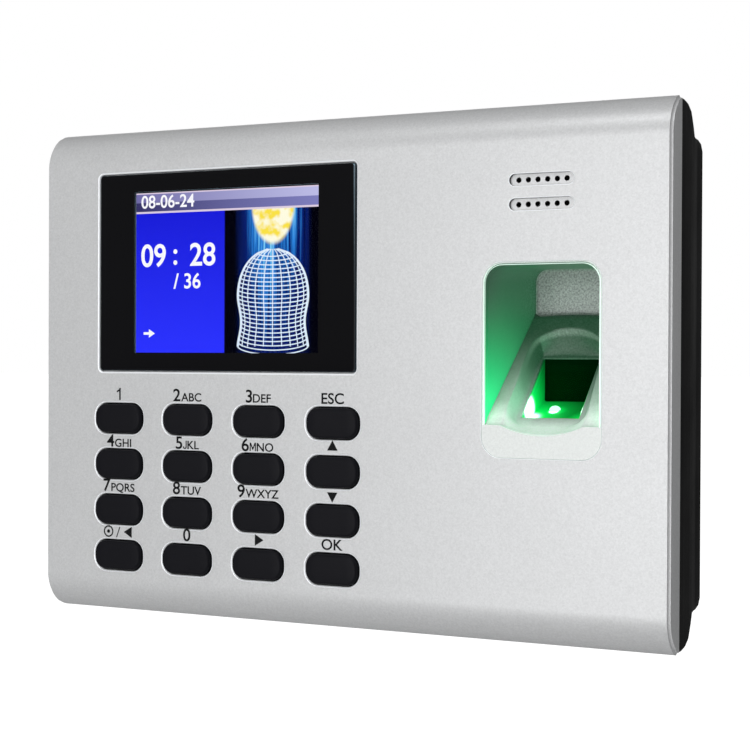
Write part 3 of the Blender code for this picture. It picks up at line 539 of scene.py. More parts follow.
def display_image():
    """The lit picture: a status bar, a blue panel, and a lamp whose beam falls on a fingertip."""
    paint = Paint("display_image")
    right, _, high = paint.position()
    across, up = paint.off(right, 0.0, PICTURE_WIDTH * MM), paint.off(high, 0.0, PICTURE_HEIGHT * MM)

    def square(value):
        return paint.product(value, value)

    stripes = paint.range(paint.noise(1.1, 4.0, 0.7, stretch=(1.0, 0.0, 0.02)), 0.35, 0.7, 0.25, 1.25)
    middle_beam = paint.range(square(paint.off(across, FINGER_CENTRE, 0.2)), 1.0, 0.0)
    beam = paint.product(middle_beam, stripes, paint.range(up, 0.0, 0.8, 0.35, 1.0))
    cold = paint.ramp(beam, (0, (0, 0, 6)), (1, (205, 240, 255)), (0.3, (6, 30, 110)),
                      (0.62, (40, 130, 220)), (0.8, (120, 205, 245)))
    lamp = paint.total(square(paint.off(across, FINGER_CENTRE, 0.115)), square(paint.off(up, 0.9, 0.25)))
    core = paint.range(lamp, 1.05, 0.75, smooth=True)
    heat = paint.range(paint.noise(3.4, 2.0), 0.45, 0.6)
    scene = paint.mix(core, cold, paint.mix(heat, colour(255, 252, 225), colour(250, 225, 70)))
    panel = paint.mix(paint.range(up, 0.0, 0.9), colour(42, 50, 255), colour(22, 26, 215))
    lower = paint.mix(paint.math("GREATER_THAN", across, SPLIT), panel, scene)
    bar_low = paint.mix(across, colour(52, 48, 100), colour(128, 128, 190))
    bar_high = paint.mix(across, colour(110, 105, 165), colour(190, 190, 232))
    bar = paint.mix(paint.math("GREATER_THAN", up, (1 + STATUS_BAR) / 2), bar_low, bar_high)
    line = paint.math("LESS_THAN", paint.math("ABSOLUTE", paint.off(up, STATUS_BAR)), BAR_LINE)
    edge = paint.math("MAXIMUM", line, paint.math("GREATER_THAN", up, 0.992))
    bar = paint.mix(edge, bar, colour(220, 205, 225))
    image = paint.mix(paint.math("GREATER_THAN", up, STATUS_BAR - BAR_LINE), lower, bar)
    paint.surface_set(Base_Color=(0, 0, 0, 1), Specular_IOR_Level=0.0)
    paint.surface_set(Emission_Color=image, Emission_Strength=1.0)
    return paint.material


def sensor_glow():
    """The inside of the optical block, with painted green light that is white-hot close to the lamps."""
    paint = Paint("sensor_glow")
    hot, wash = 0.0, 0.0
    for spot, reach in LAMP_SPOTS:
        gap = paint.node("VectorMath", {0: paint.place, 1: spot}, operation="DISTANCE").outputs["Value"]
        hot = paint.math("MAXIMUM", hot, paint.range(gap, reach * MM, 0.4 * reach * MM, smooth=True))
        wash = paint.math("MAXIMUM", wash, paint.range(gap, 5.5 * reach * MM, 0.0))
    wash = paint.math("POWER", wash, 1.7)
    tint = paint.mix(hot, paint.mix(wash, colour(0, 70, 16), colour(0, 255, 110)), colour(225, 255, 245))
    strength = paint.total(paint.product(wash, 1.5), paint.product(hot, 5.0), 0.06)
    paint.surface_set(Base_Color=colour(5, 60, 20), Roughness=0.5)
    paint.surface_set(Emission_Color=tint, Emission_Strength=strength)
    paint.bump(paint.noise(0.6, 2.0), 0.02)
    return paint.material


def from_recess(x, depth, z):
    return place(RECESS_X + x, depth, z)


# Where the lamps show inside the optical block, and how far each one's painted white-hot light reaches
LAMP_SPOTS = (
    (from_recess(-2.6, 15.2, -9.3), 1.6),
    (from_recess(-7.5, 10.9, -8.6), 4.3),
    (from_recess(7.5, 9.6, -9.6), 2.4),
)

SILVER = silver_paint()
BLACK_SHELL = moulded(
    "black_shell", colour(10, 10, 11), 0.5, grain=0.45, depth=0.05, specular=0.04, wear=0.06
)
BLACK_PLASTIC = moulded("black_plastic", colour(26, 26, 28), 0.5, specular=0.35)
RUBBER = moulded("black_silicone", colour(17, 17, 22), 0.5, grain=0.18, depth=0.008, specular=0.1, wear=0.02)
FOAM = moulded("black_foam", colour(20, 20, 20), 0.95, grain=0.5, depth=0.15, specular=0.1)
GREY_BEZEL = bezel_paint()
LENS = lens_plastic()
PICTURE = display_image()
WHITE_INK = glow("display_white", colour(250, 250, 255), 1.0)
WIRE_INK = glow("display_wire", colour(225, 240, 255), 0.95)
DARK_INK = moulded("legend_ink", colour(18, 18, 20), 0.6, specular=0.1, wear=0.0)
LCD_GLASS = moulded("lcd_glass", colour(6, 6, 8), 0.12, depth=0.002, specular=0.2, wear=0.0)
SENSOR_GLASS = clear_glass("sensor_glass_clear", (0.78, 1.0, 0.86, 1.0))
SENSOR_GLOW = sensor_glow()
SENSOR_DARK = moulded("sensor_dark", colour(0, 24, 6), 0.6, depth=0.01, specular=0.0, wear=0.0)
LED = glow("green_led", colour(205, 255, 240), 2.2)
STEEL = moulded("plated_steel", colour(178, 178, 180), 0.3, grain=0.4, depth=0.006, metallic=1.0, wear=0.2)
BLACK_STEEL = moulded(
    "powder_coated_steel", colour(36, 36, 38), 0.55, grain=0.5, depth=0.1, metallic=0.2, wear=0.3, spread=0.2
)
BOARD = moulded("solder_resist", colour(16, 84, 44), 0.35, grain=0.5, depth=0.01, wear=0.0)
CHIP = moulded("chip_resin", colour(24, 24, 26), 0.5, grain=0.2)
GREEN_PLASTIC = moulded("green_plastic", colour(24, 122, 62), 0.45)
WHITE_PLASTIC = moulded("white_plastic", colour(214, 212, 204), 0.45)
PAPER = moulded("speaker_paper", colour(34, 34, 36), 0.85, grain=0.7, depth=0.08, specular=0.2)
FILM = moulded("flex_film", colour(178, 108, 38), 0.35, grain=1.5, depth=0.01)
WIRE = moulded("wire_jacket", colour(160, 30, 28), 0.45)
GOLD = moulded("gold_contact", colour(212, 170, 84), 0.28, metallic=1.0)


# Front cover


def cover_profile(inset):
    """(depth, z) from the top of the flat face round the top edge to the rim, under an even inset."""
    radius = EDGE_RADIUS - inset
    last, steps = math.acos((EDGE_RADIUS - COVER_RIM) / radius), 22
    angles = [last * i / steps for i in range(steps + 1)]
    angles += [math.acos((EDGE_RADIUS - END_STEP_DEPTH - shift) / radius) for shift in (0.0, END_STEP_RUN)]
    angles.sort()
    return [(EDGE_RADIUS - radius * math.cos(t), FLAT_HALF_HEIGHT + radius * math.sin(t)) for t in angles]


def cover_row(shape, x, inset, step=0.0):
    """A row of vertices across the cover at x, from its top rim over the face to its bottom rim."""
    top = cover_profile(inset)
    row = []
    for depth, z in top[::-1] + [(depth, -z) for depth, z in top]:
        shift = step if depth > END_STEP_DEPTH + END_STEP_RUN / 2 else 0.0
        row.append(shape.verts.new(place(x - math.copysign(shift, x), depth, z)))
    return row


def close_end(shape, row):
    """A ladder of faces between the two halves of a row, which run there and back again."""
    half = len(row) // 2
    for i in range(half - 1):
        shape.faces.new((row[i], row[i + 1], row[-2 - i], row[-1 - i]))


def cover_skin(shape, x_end, inset, end_round, step):
    """One skin of the cover without its flat face. Returns its face's corners and its rim."""
    steps = [(end_round - sink, end_round - outset) for outset, sink in rounding(end_round)]
    rows = [cover_row(shape, back - x_end, inset + sink, step) for back, sink in reversed(steps)]
    rows += [cover_row(shape, x_end - back, inset + sink, step) for back, sink in steps]
    half = len(rows[0]) // 2
    inner_left, inner_right = len(rows) // 2 - 1, len(rows) // 2
    for i, (first, second) in enumerate(zip(rows, rows[1:])):
        for j in range(len(first) - 1):
            if i == inner_left and j == half - 1:
                continue
            shape.faces.new((first[j], first[j + 1], second[j + 1], second[j]))
    close_end(shape, rows[0])
    close_end(shape, rows[-1])
    left, right = rows[inner_left], rows[inner_right]
    corners = [left[half - 1], left[half], right[half], right[half - 1]]
    rim = [row[0] for row in rows] + [row[-1] for row in rows[::-1]]
    return corners, rim


def hole_loops(shape, outline, floor, edge=HOLE_ROUND, wall=0.0):
    """A hole from the face to the depth `floor`. Returns its loop in the face and its last loop."""
    steps = rounding(edge) + [(0.0, floor - BAND), (0.0, floor)]
    loops = [ring(shape, outline(outset), depth) for outset, depth in steps]
    bridge_all(shape, loops)
    # The rounded rim gets a painted highlight; the wall down to the band above its floor takes the value
    # wall, where -1 is painted shade.
    mark(shape, loops[1:-3], 1.0)
    mark(shape, loops[-3:-1], wall)
    return loops[0], loops[-1]


def mark(shape, loops, value):
    """Writes the value that the silver paint reads: 1 for a painted highlight on a rim, -1 for painted shade
    on a wall.
    """
    layer = shape.verts.layers.float.get("rim")
    for loop in loops:
        for vertex in loop:
            vertex[layer] = value


def speaker_slot(shape, z):
    """A slot with a row of bores in its floor. Returns its loop in the face and the bores' back loops."""
    # The slot's wall takes -1: painted shade.
    front, floor = hole_loops(shape, slot_outline(z), SLOT_DEPTH, SLOT_ROUND, -1.0)
    tops, backs = [], []
    for i in range(SLOT_HOLES):
        outline = circle(SPEAKER.x + (i - (SLOT_HOLES - 1) / 2) * HOLE_PITCH, z, HOLE_RADIUS)
        bore = [ring(shape, outline, depth) for depth in (SLOT_DEPTH, SLOT_DEPTH + BAND, COVER_WALL)]
        bridge_all(shape, bore)
        # The bores take -1 as well: painted shade.
        mark(shape, bore[1:], -1.0)
        tops.append(bore[0])
        backs.append(bore[-1])
    fill(shape, floor, *tops)
    return front, backs


def make_cover():
    shape = bmesh.new()
    # Per-vertex values for the silver paint: painted highlights on the rims and painted shade in the slots.
    shape.verts.layers.float.new("rim")
    face_corners, outer_rim = cover_skin(shape, HALF_WIDTH, 0.0, END_ROUND, END_STEP)
    back_corners, inner_rim = cover_skin(shape, HALF_WIDTH - COVER_WALL, COVER_WALL, INNER_ROUND, 0.0)
    in_face, in_back = [], []
    through = [(key_opening(name), HOLE_ROUND) for name in KEY_NAMES]
    through.append((lambda extra: mouth_outline(extra + MOUTH_RIM + MOUTH_CLEARANCE), MOUTH_HOLE_ROUND))
    for outline, edge in through:
        front, back = hole_loops(shape, outline, COVER_WALL, edge)
        in_face.append(front)
        in_back.append(back)
    front, ledge = hole_loops(shape, window_outline, WINDOW_RECESS)
    in_face.append(front)
    aperture = rounded(SCREEN.x, SCREEN.z, APERTURE_WIDTH, APERTURE_HEIGHT, APERTURE_CORNER)
    loops = [ring(shape, aperture, depth) for depth in (WINDOW_RECESS, COVER_WALL)]
    fill(shape, ledge, loops[0])
    bridge(shape, *loops)
    in_back.append(loops[1])
    for row in (-0.5, 0.5):
        front, backs = speaker_slot(shape, SPEAKER.z + row * SLOT_SPACING)
        in_face.append(front)
        in_back += backs
    fill(shape, face_corners, *in_face)
    fill(shape, back_corners, *in_back)
    bridge(shape, outer_rim, inner_rim)
    attach(finish_piece("cover_shell", shape, SILVER), BODY, "silver_cover", "front_cover")


def make_seam():
    """The shell's tongue, which shows in the joint between the cover and the shell."""
    low, high = box_mm("rear_shell")
    outer, inner = SEAM_INSET, SEAM_INSET + SEAM_THICKNESS
    front, back = COVER_RIM + SEAM_GAP, COVER_RIM + SEAM_WIDTH
    shape = bmesh.new()
    rings = []
    for inset, depth in ((outer, front), (outer, back), (inner, back), (inner, front)):
        outline = rounded(0.0, 0.0, high.x - low.x - 2 * inset, high.z - low.z - 2 * inset, SEAM_CORNER)
        rings.append(ring(shape, outline, depth))
    bridge_all(shape, rings + rings[:1])
    attach(finish_piece("seam_tongue", shape, BLACK_SHELL), BODY, "black_shell")


# Display


def plate(shape, outline, front, back, bevel):
    """A plate with a rounded front edge. The outline is a function of how far it is grown."""
    rings = [ring(shape, outline(-inset), front + sink) for inset, sink in rounding(bevel)]
    rings.append(ring(shape, outline(0.0), back))
    bridge_all(shape, rings)
    fill(shape, rings[0])
    fill(shape, rings[-1])


def make_lens():
    shape = bmesh.new()
    plate(shape, lambda extra: window_outline(extra - WINDOW_CLEARANCE), LENS_LOW.y, LENS_HIGH.y, LENS_ROUND)
    attach(finish_piece("display_lens", shape, LENS), BODY, "window_acrylic", "display_window")


def on_picture(across, up):
    """A point of the picture, given as shares of its width and height, in X and Z millimetres."""
    return PICTURE_X + (across - 0.5) * PICTURE_WIDTH, PICTURE_Z + (up - 0.5) * PICTURE_HEIGHT


def make_picture():
    """The lit picture is a thin sheet just in front of the panel's glass."""
    shape = bmesh.new()
    left, bottom = on_picture(0, 0)
    size = Vector((PICTURE_WIDTH, PICTURE_THICKNESS, PICTURE_HEIGHT)) * MM
    for x, y, z in itertools.product((0, 1), repeat=3):
        shape.verts.new((x * size.x, y * size.y, z * size.z))
    bmesh.ops.convex_hull(shape, input=shape.verts)
    sheet = finish_piece("display_picture", shape, PICTURE)
    sheet.location = place(left, PANEL_FRONT - PICTURE_LIFT, bottom)
    attach(sheet, BODY, "lcd_glass")


def stroke(shape, points, width, depth):
    """A flat line of even width through points in X and Z, as a thin solid."""
    sides = ([], [])
    for i, (x, z) in enumerate(points):
        (ax, az), (bx, bz) = points[max(i - 1, 0)], points[min(i + 1, len(points) - 1)]
        half = width / 2 / math.hypot(bx - ax, bz - az)
        shift_x, shift_z = (az - bz) * half, (bx - ax) * half
        sides[0].append((x + shift_x, z + shift_z))
        sides[1].append((x - shift_x, z - shift_z))
    outline = sides[0] + sides[1][::-1]
    front, back = ring(shape, outline, depth), ring(shape, outline, depth + STROKE_THICKNESS)
    bridge(shape, front, back)
    close_end(shape, front)
    close_end(shape, back)


def finger_half(share):
    """Half width of the drawn finger, at a share of its height: a waist under a round tip."""
    tip = max(0.0, (share - 0.5) / 0.5)
    waist = 1 - 0.1 * math.sin(math.pi * min(1.0, share / 0.55)) ** 2
    return FINGER_HALF * math.sqrt(max(0.0, 1 - tip**2.3)) * waist


def on_finger(lean, share, sag=0.0):
    """A point of the drawn finger: lean runs from 1 at its left to -1 at its right."""
    up = blend(FINGER_LOW, FINGER_HIGH, share) - sag
    return on_picture(FINGER_CENTRE - finger_half(share) * lean, up)


def make_fingertip():
    """A wireframe fingertip on the picture: rings round it and ribs along it."""
    shape = bmesh.new()
    depth = PANEL_FRONT - SIGN_LIFT
    for i in range(1, FINGER_RINGS + 1):
        share = i / (FINGER_RINGS + 1)
        turns = [math.pi * j / RING_POINTS for j in range(RING_POINTS + 1)]
        sag = RING_SAG * (1 - 0.6 * share)
        stroke(shape, [on_finger(math.cos(t), share, sag * math.sin(t)) for t in turns], RING_LINE, depth)
    shares = [blend(RIB_START, RIB_END, j / RIB_POINTS) for j in range(RIB_POINTS + 1)]
    for i in range(FINGER_RIBS + 1):
        lean = math.cos(math.pi * i / FINGER_RIBS)
        line = OUTLINE_LINE if i in (0, FINGER_RIBS) else RIB_LINE
        stroke(shape, [on_finger(lean, share) for share in shares], line, depth)
    attach(finish_piece("display_fingertip", shape, WIRE_INK), BODY, "lcd_glass")


# Lettering


STROKE_GROWTH = 0.014  # how much the strokes of the text are broadened, at size 1
INK = 0.03  # thickness of the print


def glyph_mesh(text):
    """A text at size 1 as a solid 1 thick, on its base line, with slightly broadened strokes."""
    curve = bpy.data.curves.new("text", "FONT")
    curve.body = text
    curve.extrude = 0.5
    curve.offset = STROKE_GROWTH
    writing = bpy.data.objects.new("text", curve)
    bpy.context.scene.collection.objects.link(writing)
    bpy.context.view_layer.update()
    mesh = bpy.data.meshes.new_from_object(writing.evaluated_get(bpy.context.evaluated_depsgraph_get()))
    bpy.data.objects.remove(writing)
    return mesh


def text_scale(height):
    """The scale that makes a figure this many millimetres tall."""
    return height / max(v.co.y for v in glyph_mesh("0").vertices)


def text_span(text, height, squeeze):
    xs = [v.co.x for v in glyph_mesh(text).vertices]
    scale = text_scale(height) * squeeze
    return min(xs) * scale, max(xs) * scale


def write(shape, text, left, base, height, depth, squeeze):
    """Adds text whose left end is at `left` and whose base line is at `base`. Returns its right end."""
    start, end = text_span(text, height, squeeze)
    up = text_scale(height) * MM
    matrix = Matrix.Translation(place(left - start, depth - INK / 2, base)) @ Matrix(
        ((up * squeeze, 0, 0, 0), (0, 0, -INK * MM, 0), (0, up, 0, 0), (0, 0, 0, 1))
    )
    mesh = glyph_mesh(text)
    mesh.transform(matrix)
    shape.from_mesh(mesh)
    return left + end - start


def polygon(shape, outline, depth, thickness=INK):
    """A flat solid with a straight-sided outline."""
    front, back = ring(shape, outline, depth - thickness), ring(shape, outline, depth)
    bridge(shape, front, back)
    shape.faces.new(front)
    shape.faces.new(back)


def annulus(shape, x, z, outer, inner, depth):
    corners = ((outer, 0), (outer, INK), (inner, INK), (inner, 0))
    rings = [ring(shape, circle(x, z, radius, 28), depth - lift) for radius, lift in corners]
    bridge_all(shape, rings + rings[:1])


def triangle(shape, x, z, half, turn, depth):
    """A triangle about (x, z) that points at `turn` degrees, anticlockwise from the right."""
    polygon(shape, arc(x, z, half, turn, turn + 240, 2), depth)


LETTERS = {"2": "ABC", "3": "DEF", "4": "GHI", "5": "JKL", "6": "MNO", "7": "PQRS", "8": "TUV", "9": "WXYZ"}
FIGURE_HEIGHT, LETTER_HEIGHT, WORD_HEIGHT, SQUEEZE = 3.3, 2.2, 2.75, 1.06
LETTER_GAP = 0.25
LEGEND_LIFT, MIDDLE_ROW_LIFT = 0.75, 0.45  # from a key's hole up to its legend
POINTERS = {"up": 90, "down": 270, "right": 0}
SIGN_CENTRE = 0.42  # height of a sign's centre, as a share of a figure's
POINTER_SIZE, SIGN_OFFSET = 1.75, 3.4
RING_OUTER, RING_INNER, DOT = 1.6, 1.2, 0.5  # radii of the sign on the left key
SLASH = ((-0.9, -0.2), (-0.6, -0.2), (0.5, 2.7), (0.2, 2.7))
FIGURE_1 = ((0.5, 0), (0.5, 3.3), (0.14, 3.3), (-0.1, 2.85), (-0.8, 2.5), (-0.8, 2.05), (0.0, 2.4), (0.0, 0))
DRAWN_LETTERS = {
    "M": ((0, 0), (0, 1), (0.17, 1), (0.43, 0.42), (0.69, 1), (0.86, 1), (0.86, 0), (0.72, 0), (0.72, 0.7),
          (0.48, 0.16), (0.38, 0.16), (0.14, 0.7), (0.14, 0)),
    "J": ((0, 0.3), (0.13, 0.3), (0.16, 0.17), (0.27, 0.12), (0.38, 0.2), (0.38, 1), (0.53, 1), (0.53, 0.16),
          (0.43, 0.03), (0.27, -0.02), (0.1, 0.03), (0.01, 0.14)),
}


def shifted(outline, x, z, scale=1.0):
    return [(x + scale * a, z + scale * b) for a, b in outline]


def figure_legend(shape, name, x, base):
    """A figure and the letters beside it, centred together."""
    letters = LETTERS.get(name, "")
    start, end = text_span(name, FIGURE_HEIGHT, SQUEEZE)
    width = end - start
    if letters:
        first, last = text_span(letters, LETTER_HEIGHT, SQUEEZE)
        width += LETTER_GAP + last - first
    right = LETTER_GAP + write(shape, name, x - width / 2, base, FIGURE_HEIGHT, 0.0, SQUEEZE)
    if letters[:1] in DRAWN_LETTERS:
        outline = shifted(DRAWN_LETTERS[letters[0]], right, base, LETTER_HEIGHT)
        polygon(shape, outline, 0.0)
        right = max(x for x, _ in outline) + LETTER_GAP
        letters = letters[1:]
    if letters:
        write(shape, letters, right, base, LETTER_HEIGHT, 0.0, SQUEEZE)


def legend(shape, name):
    """The printed legend above one key."""
    spot = middle(f"key_{name}")
    lift = MIDDLE_ROW_LIFT if name in "456" else LEGEND_LIFT
    base = spot.z + KEY_HEIGHT / 2 + KEY_CLEARANCE + lift
    centre_z = base + FIGURE_HEIGHT * SIGN_CENTRE
    if name in POINTERS:
        triangle(shape, spot.x, centre_z, POINTER_SIZE, POINTERS[name], 0.0)
    elif name == "left":
        annulus(shape, spot.x - SIGN_OFFSET, centre_z, RING_OUTER, RING_INNER, 0.0)
        polygon(shape, circle(spot.x - SIGN_OFFSET, centre_z, DOT, 16), 0.0)
        polygon(shape, shifted(SLASH, spot.x, base), 0.0)
        triangle(shape, spot.x + SIGN_OFFSET, centre_z, POINTER_SIZE, 180, 0.0)
    elif name in ("esc", "ok"):
        start, end = text_span(name.upper(), WORD_HEIGHT, SQUEEZE)
        write(shape, name.upper(), spot.x - (end - start) / 2, base, WORD_HEIGHT, 0.0, SQUEEZE)
    elif name == "1":
        polygon(shape, shifted(FIGURE_1, spot.x, base), 0.0)
    else:
        figure_legend(shape, name, spot.x, base)


def make_legends():
    shape = bmesh.new()
    for name in KEY_NAMES:
        legend(shape, name)
    attach(finish_piece("printed_legends", shape, DARK_INK, weighted=False), BODY, "black_plastic")


def make_display_figures():
    """The figures and signs on the picture: a date, the time, the seconds and a pointer."""
    shape = bmesh.new()
    depth = PANEL_FRONT - SIGN_LIFT
    for text, across, up, height in (
        ("08-06-24", 0.035, 0.905, 3.4),
        ("09", 0.035, 0.54, 6.0),
        (":", 0.214, 0.55, 6.0),
        ("28", 0.305, 0.54, 6.0),
        ("/ 36", 0.215, 0.4, 4.0),
    ):
        left, base = on_picture(across, up)
        write(shape, text, left, base, height, depth, 0.98)
    left, base = on_picture(0.08, 0.12)
    triangle(shape, left + 0.6, base, 1.3, 0, depth)
    stroke(shape, [(left - 1.8, base), (left, base)], 0.7, depth - 0.03)
    attach(finish_piece("display_figures", shape, WHITE_INK, weighted=False), BODY, "lcd_glass")


# Keys


def make_key(name):
    """One keycap: a stem with a flange, and a crown with round shoulders and a slight dome."""
    low, high = box_mm(f"key_{name}")
    x, z = (low.x + high.x) / 2, (low.z + high.z) / 2
    front = low.y + KEY_CROWN
    stages = [(high.y, 0.0), (KEY_FLANGE_BACK, 0.0), (KEY_FLANGE_BACK, -KEY_FLANGE)]
    stages += [(KEY_FLANGE_FRONT, -KEY_FLANGE), (KEY_FLANGE_FRONT, 0.0)]
    stages += [(front + rise, inset) for rise, inset in rounding(KEY_ROUND, 6)]
    for share in (0.4, 0.75, 1.0):
        stages.append((front - KEY_CROWN * math.sin(math.pi / 2 * share), KEY_ROUND + KEY_DOME * share))
    shape = bmesh.new()
    rings = []
    for depth, inset in stages:
        corner = max(KEY_CORNER - inset, KEY_LEAST_CORNER)
        outline = rounded(x, z, KEY_WIDTH - 2 * inset, KEY_HEIGHT - 2 * inset, corner)
        rings.append(ring(shape, outline, depth))
    bridge_all(shape, rings)
    shape.faces.new(rings[0])
    shape.faces.new(rings[-1])
    cap = finish_piece(f"keycap_{name}", shape, RUBBER, smooth=50)
    attach(cap, f"key_{name}", "black_silicone", f"key_{name}")


# Finger recess


def ramp_height(depth):
    return RAMP_START_Z + RAMP_SLOPE * max(depth - RAMP_START, 0.0)


def trough_height(depth):
    """The trough's lowest line, which climbs more gently from the lip to the sensor opening."""
    opening_z = TROUGH_START_Z + OPENING_START - RAMP_START
    before = blend(LIP_Z, opening_z, depth / OPENING_START)
    return max(before, TROUGH_START_Z + depth - RAMP_START)


def recess_half(depth):
    return blend(RECESS_HALF_WIDTH, RECESS_BACK_HALF_WIDTH, depth / RECESS_DEPTH)


def share_of(value, low, high):
    return min(1.0, max(0.0, (value - low) / (high - low)))


def smoothstep(t):
    return t * t * (3 - 2 * t)


BEND_START = 15.0  # depth from which the trough's surface is stretched towards its end wall
ARCH_DEPTH, ARCH_DROP = 20.4, 3.2  # where the trough ends on the ramp: at its middle, and less at its sides
ARCH_STATION, ARCH_STATION_DROP = 21.2, 1.2  # the same line in the surface's own rows
ARCH_HALF, ARCH_LIMIT, ARCH_POWER = 10.0, 1.06, 2.2  # how the arch falls away from the middle
STRETCH_HALF, STRETCH_FADE = 10.9, 1.6  # the stretching fades out to nothing towards the walls
TROUGH_END = 20.7  # depth of the trough's floor at the top of the sensor opening
TROUGH_STRETCH = (TROUGH_END - OPENING_END) / (OPENING_END - BEND_START)
END_WALL_RUN = 5.5  # how much earlier the end wall starts at the trough's sides
FLAT_MARGIN, FLAT_LEAD = 0.3, 0.4  # the trough is flat this far beside and before the sensor opening
END_MARGIN, SIDE_MARGIN = 0.15, 0.1  # from the sensor opening to where the end wall starts to curve


def floor_point(x, station):
    """A point of the recess floor: the ramp, the finger trough in it and the trough's arched end wall."""
    aside = abs(x)
    spread = min(aside / ARCH_HALF, ARCH_LIMIT) ** ARCH_POWER
    arch_station = ARCH_STATION - ARCH_STATION_DROP * spread
    arch_depth = ARCH_DEPTH - ARCH_DROP * spread
    if station > arch_station:
        ramp_depth = blend(arch_depth, RECESS_DEPTH, share_of(station, arch_station, RECESS_DEPTH))
    elif station > BEND_START:
        ramp_depth = blend(BEND_START, arch_depth, share_of(station, BEND_START, arch_station))
    else:
        ramp_depth = station
    ramp_depth = blend(station, ramp_depth, smoothstep(share_of(STRETCH_HALF - aside, 0.0, STRETCH_FADE)))
    trough_depth = station + max(0.0, station - BEND_START) * TROUGH_STRETCH

    outline = blend(TROUGH_FRONT_HALF, TROUGH_BACK_HALF, share_of(station, RAMP_START, BEND_START))
    flat = (OPENING_HALF + FLAT_MARGIN) * smoothstep(share_of(station, 0.0, OPENING_START - FLAT_LEAD))
    side = share_of(aside, flat, outline)
    end_run = END_WALL_RUN * share_of(aside, OPENING_HALF + SIDE_MARGIN, outline)
    end_start = OPENING_END + END_MARGIN - end_run
    end = share_of(station, end_start, arch_station)
    weight = 1 - min(1.0, side**2 + end**2)
    z = blend(ramp_height(ramp_depth), trough_height(trough_depth), weight)
    return x, blend(ramp_depth, trough_depth, weight), z


COLUMNS_OVER, COLUMNS_BESIDE = 22, 18  # spaces across the sensor opening, and out to each wall


def recess_columns(depth):
    """Positions across the floor: even ones over the sensor opening and others out to the walls."""
    half = recess_half(depth)
    beside = [blend(OPENING_HALF, half, i / COLUMNS_BESIDE) for i in range(1, COLUMNS_BESIDE + 1)]
    over = [blend(-OPENING_HALF, OPENING_HALF, i / COLUMNS_OVER) for i in range(COLUMNS_OVER + 1)]
    return [-x for x in beside[::-1]] + over + beside


def recess_stations():
    """Depths of the rows along the recess, dense at the trough's end wall."""
    stretches = (
        (BEZEL_FRONT + MOUTH_ROUND, OPENING_START, 14),
        (OPENING_START, OPENING_END, 30),
        (OPENING_END, ARCH_STATION, 20),
        (ARCH_STATION, RECESS_DEPTH - END_WALL_ROUND, 6),
    )
    stations = [stretches[0][0]]
    for start, end, count in stretches:
        stations += [blend(start, end, i / count) for i in range(1, count + 1)]
    return stations


def recess_ring(shape, station, outset=0.0, depth=None):
    """The recess at one depth: its floor from left to right, then up and round the walls."""
    floor = []
    for x in recess_columns(station):
        _, floor_depth, z = floor_point(x, station)
        widened = x * (1 + outset / recess_half(station))
        spot = from_recess(widened, floor_depth if depth is None else depth, z - outset)
        floor.append(shape.verts.new(spot))
    flat_depth = station if depth is None else depth
    half, top = recess_half(station) + outset, RECESS_TOP - TOP_DRAFT * station + outset
    radius = RECESS_CORNER - CORNER_LOSS * station / RECESS_DEPTH + outset
    foot = ramp_height(station) - outset
    right = [(half, blend(foot, top - radius, i / WALL_STEPS)) for i in range(1, WALL_STEPS)]
    right += arc(half - radius, top - radius, radius, 0, 90, 8)
    walls = right + [(-x, z) for x, z in right[::-1]]
    return floor + [shape.verts.new(from_recess(x, flat_depth, z)) for x, z in walls]


def cut_opening(shape, floor_rows):
    """Lines the sensor opening with a rounded rim and walls down to the glass."""
    first, last = floor_rows[0], floor_rows[-1]
    left = [row[0] for row in floor_rows]
    right = [row[-1] for row in floor_rows]
    loop = first + right[1:] + last[-2::-1] + left[-2:0:-1]
    centre = sum((v.co for v in loop), Vector()) / len(loop)
    up_slope = Vector((0, 1, 1)).normalized()
    downwards = Vector((0, 1, -1)).normalized()
    rings = [loop]
    for pull, sink in ((0.05, 0.02), (0.15, 0.08), (0.2, 0.2), (0.2, GLASS_SETBACK)):
        lowered = []
        for vertex in loop:
            offset = vertex.co - centre
            inwards = (Vector((offset.x, 0, 0)) + up_slope * offset.dot(up_slope)) * -pull / OPENING_HALF
            lowered.append(shape.verts.new(vertex.co + inwards + downwards * sink * MM))
        rings.append(lowered)
    bridge_all(shape, rings)


def make_bezel():
    shape = bmesh.new()
    stations = recess_stations()
    start, end = BEZEL_FRONT + MOUTH_ROUND, RECESS_DEPTH - END_WALL_ROUND
    rows = []
    for outset, sink in rounding(MOUTH_ROUND)[:-1]:
        rows.append(recess_ring(shape, start, outset, BEZEL_FRONT + sink))
    recess = [recess_ring(shape, station) for station in stations]
    rows += recess
    for inset, sink in reversed(rounding(END_WALL_ROUND, 5)[:-1]):
        rows.append(recess_ring(shape, end, -inset, RECESS_DEPTH - sink))
    bridge_all(shape, rows)
    fill(shape, rows[-1])

    inside = [
        row[COLUMNS_BESIDE:COLUMNS_BESIDE + COLUMNS_OVER + 1]
        for row, station in zip(recess, stations)
        if OPENING_START - SLACK <= station <= OPENING_END + SLACK
    ]
    for lower, upper in zip(inside, inside[1:]):
        for i in range(COLUMNS_OVER):
            shape.faces.remove(shape.faces.get((lower[i], lower[i + 1], upper[i + 1], upper[i])))
    cut_opening(shape, inside)
    bmesh.ops.delete(shape, geom=[v for v in shape.verts if not v.link_faces], context="VERTS")

    outer = []
    for inset, sink in rounding(RIM_ROUND):
        outer.append(ring(shape, mouth_outline(MOUTH_RIM - inset), BEZEL_FRONT + sink))
    outer.append(ring(shape, mouth_outline(MOUTH_RIM), COVER_WALL + 1.0))
    bridge_all(shape, outer)
    fill(shape, outer[0], rows[0])
    bezel = finish_piece("recess_bezel", shape, GREY_BEZEL, smooth=40)
    thick = bezel.modifiers.new("thickness", "SOLIDIFY")
    thick.thickness = BEZEL_WALL * MM
    thick.offset = -1.0
    bezel.modifiers.move(1, 0)
    attach(bezel, BODY, "grey_bezel", "sensor_bezel")


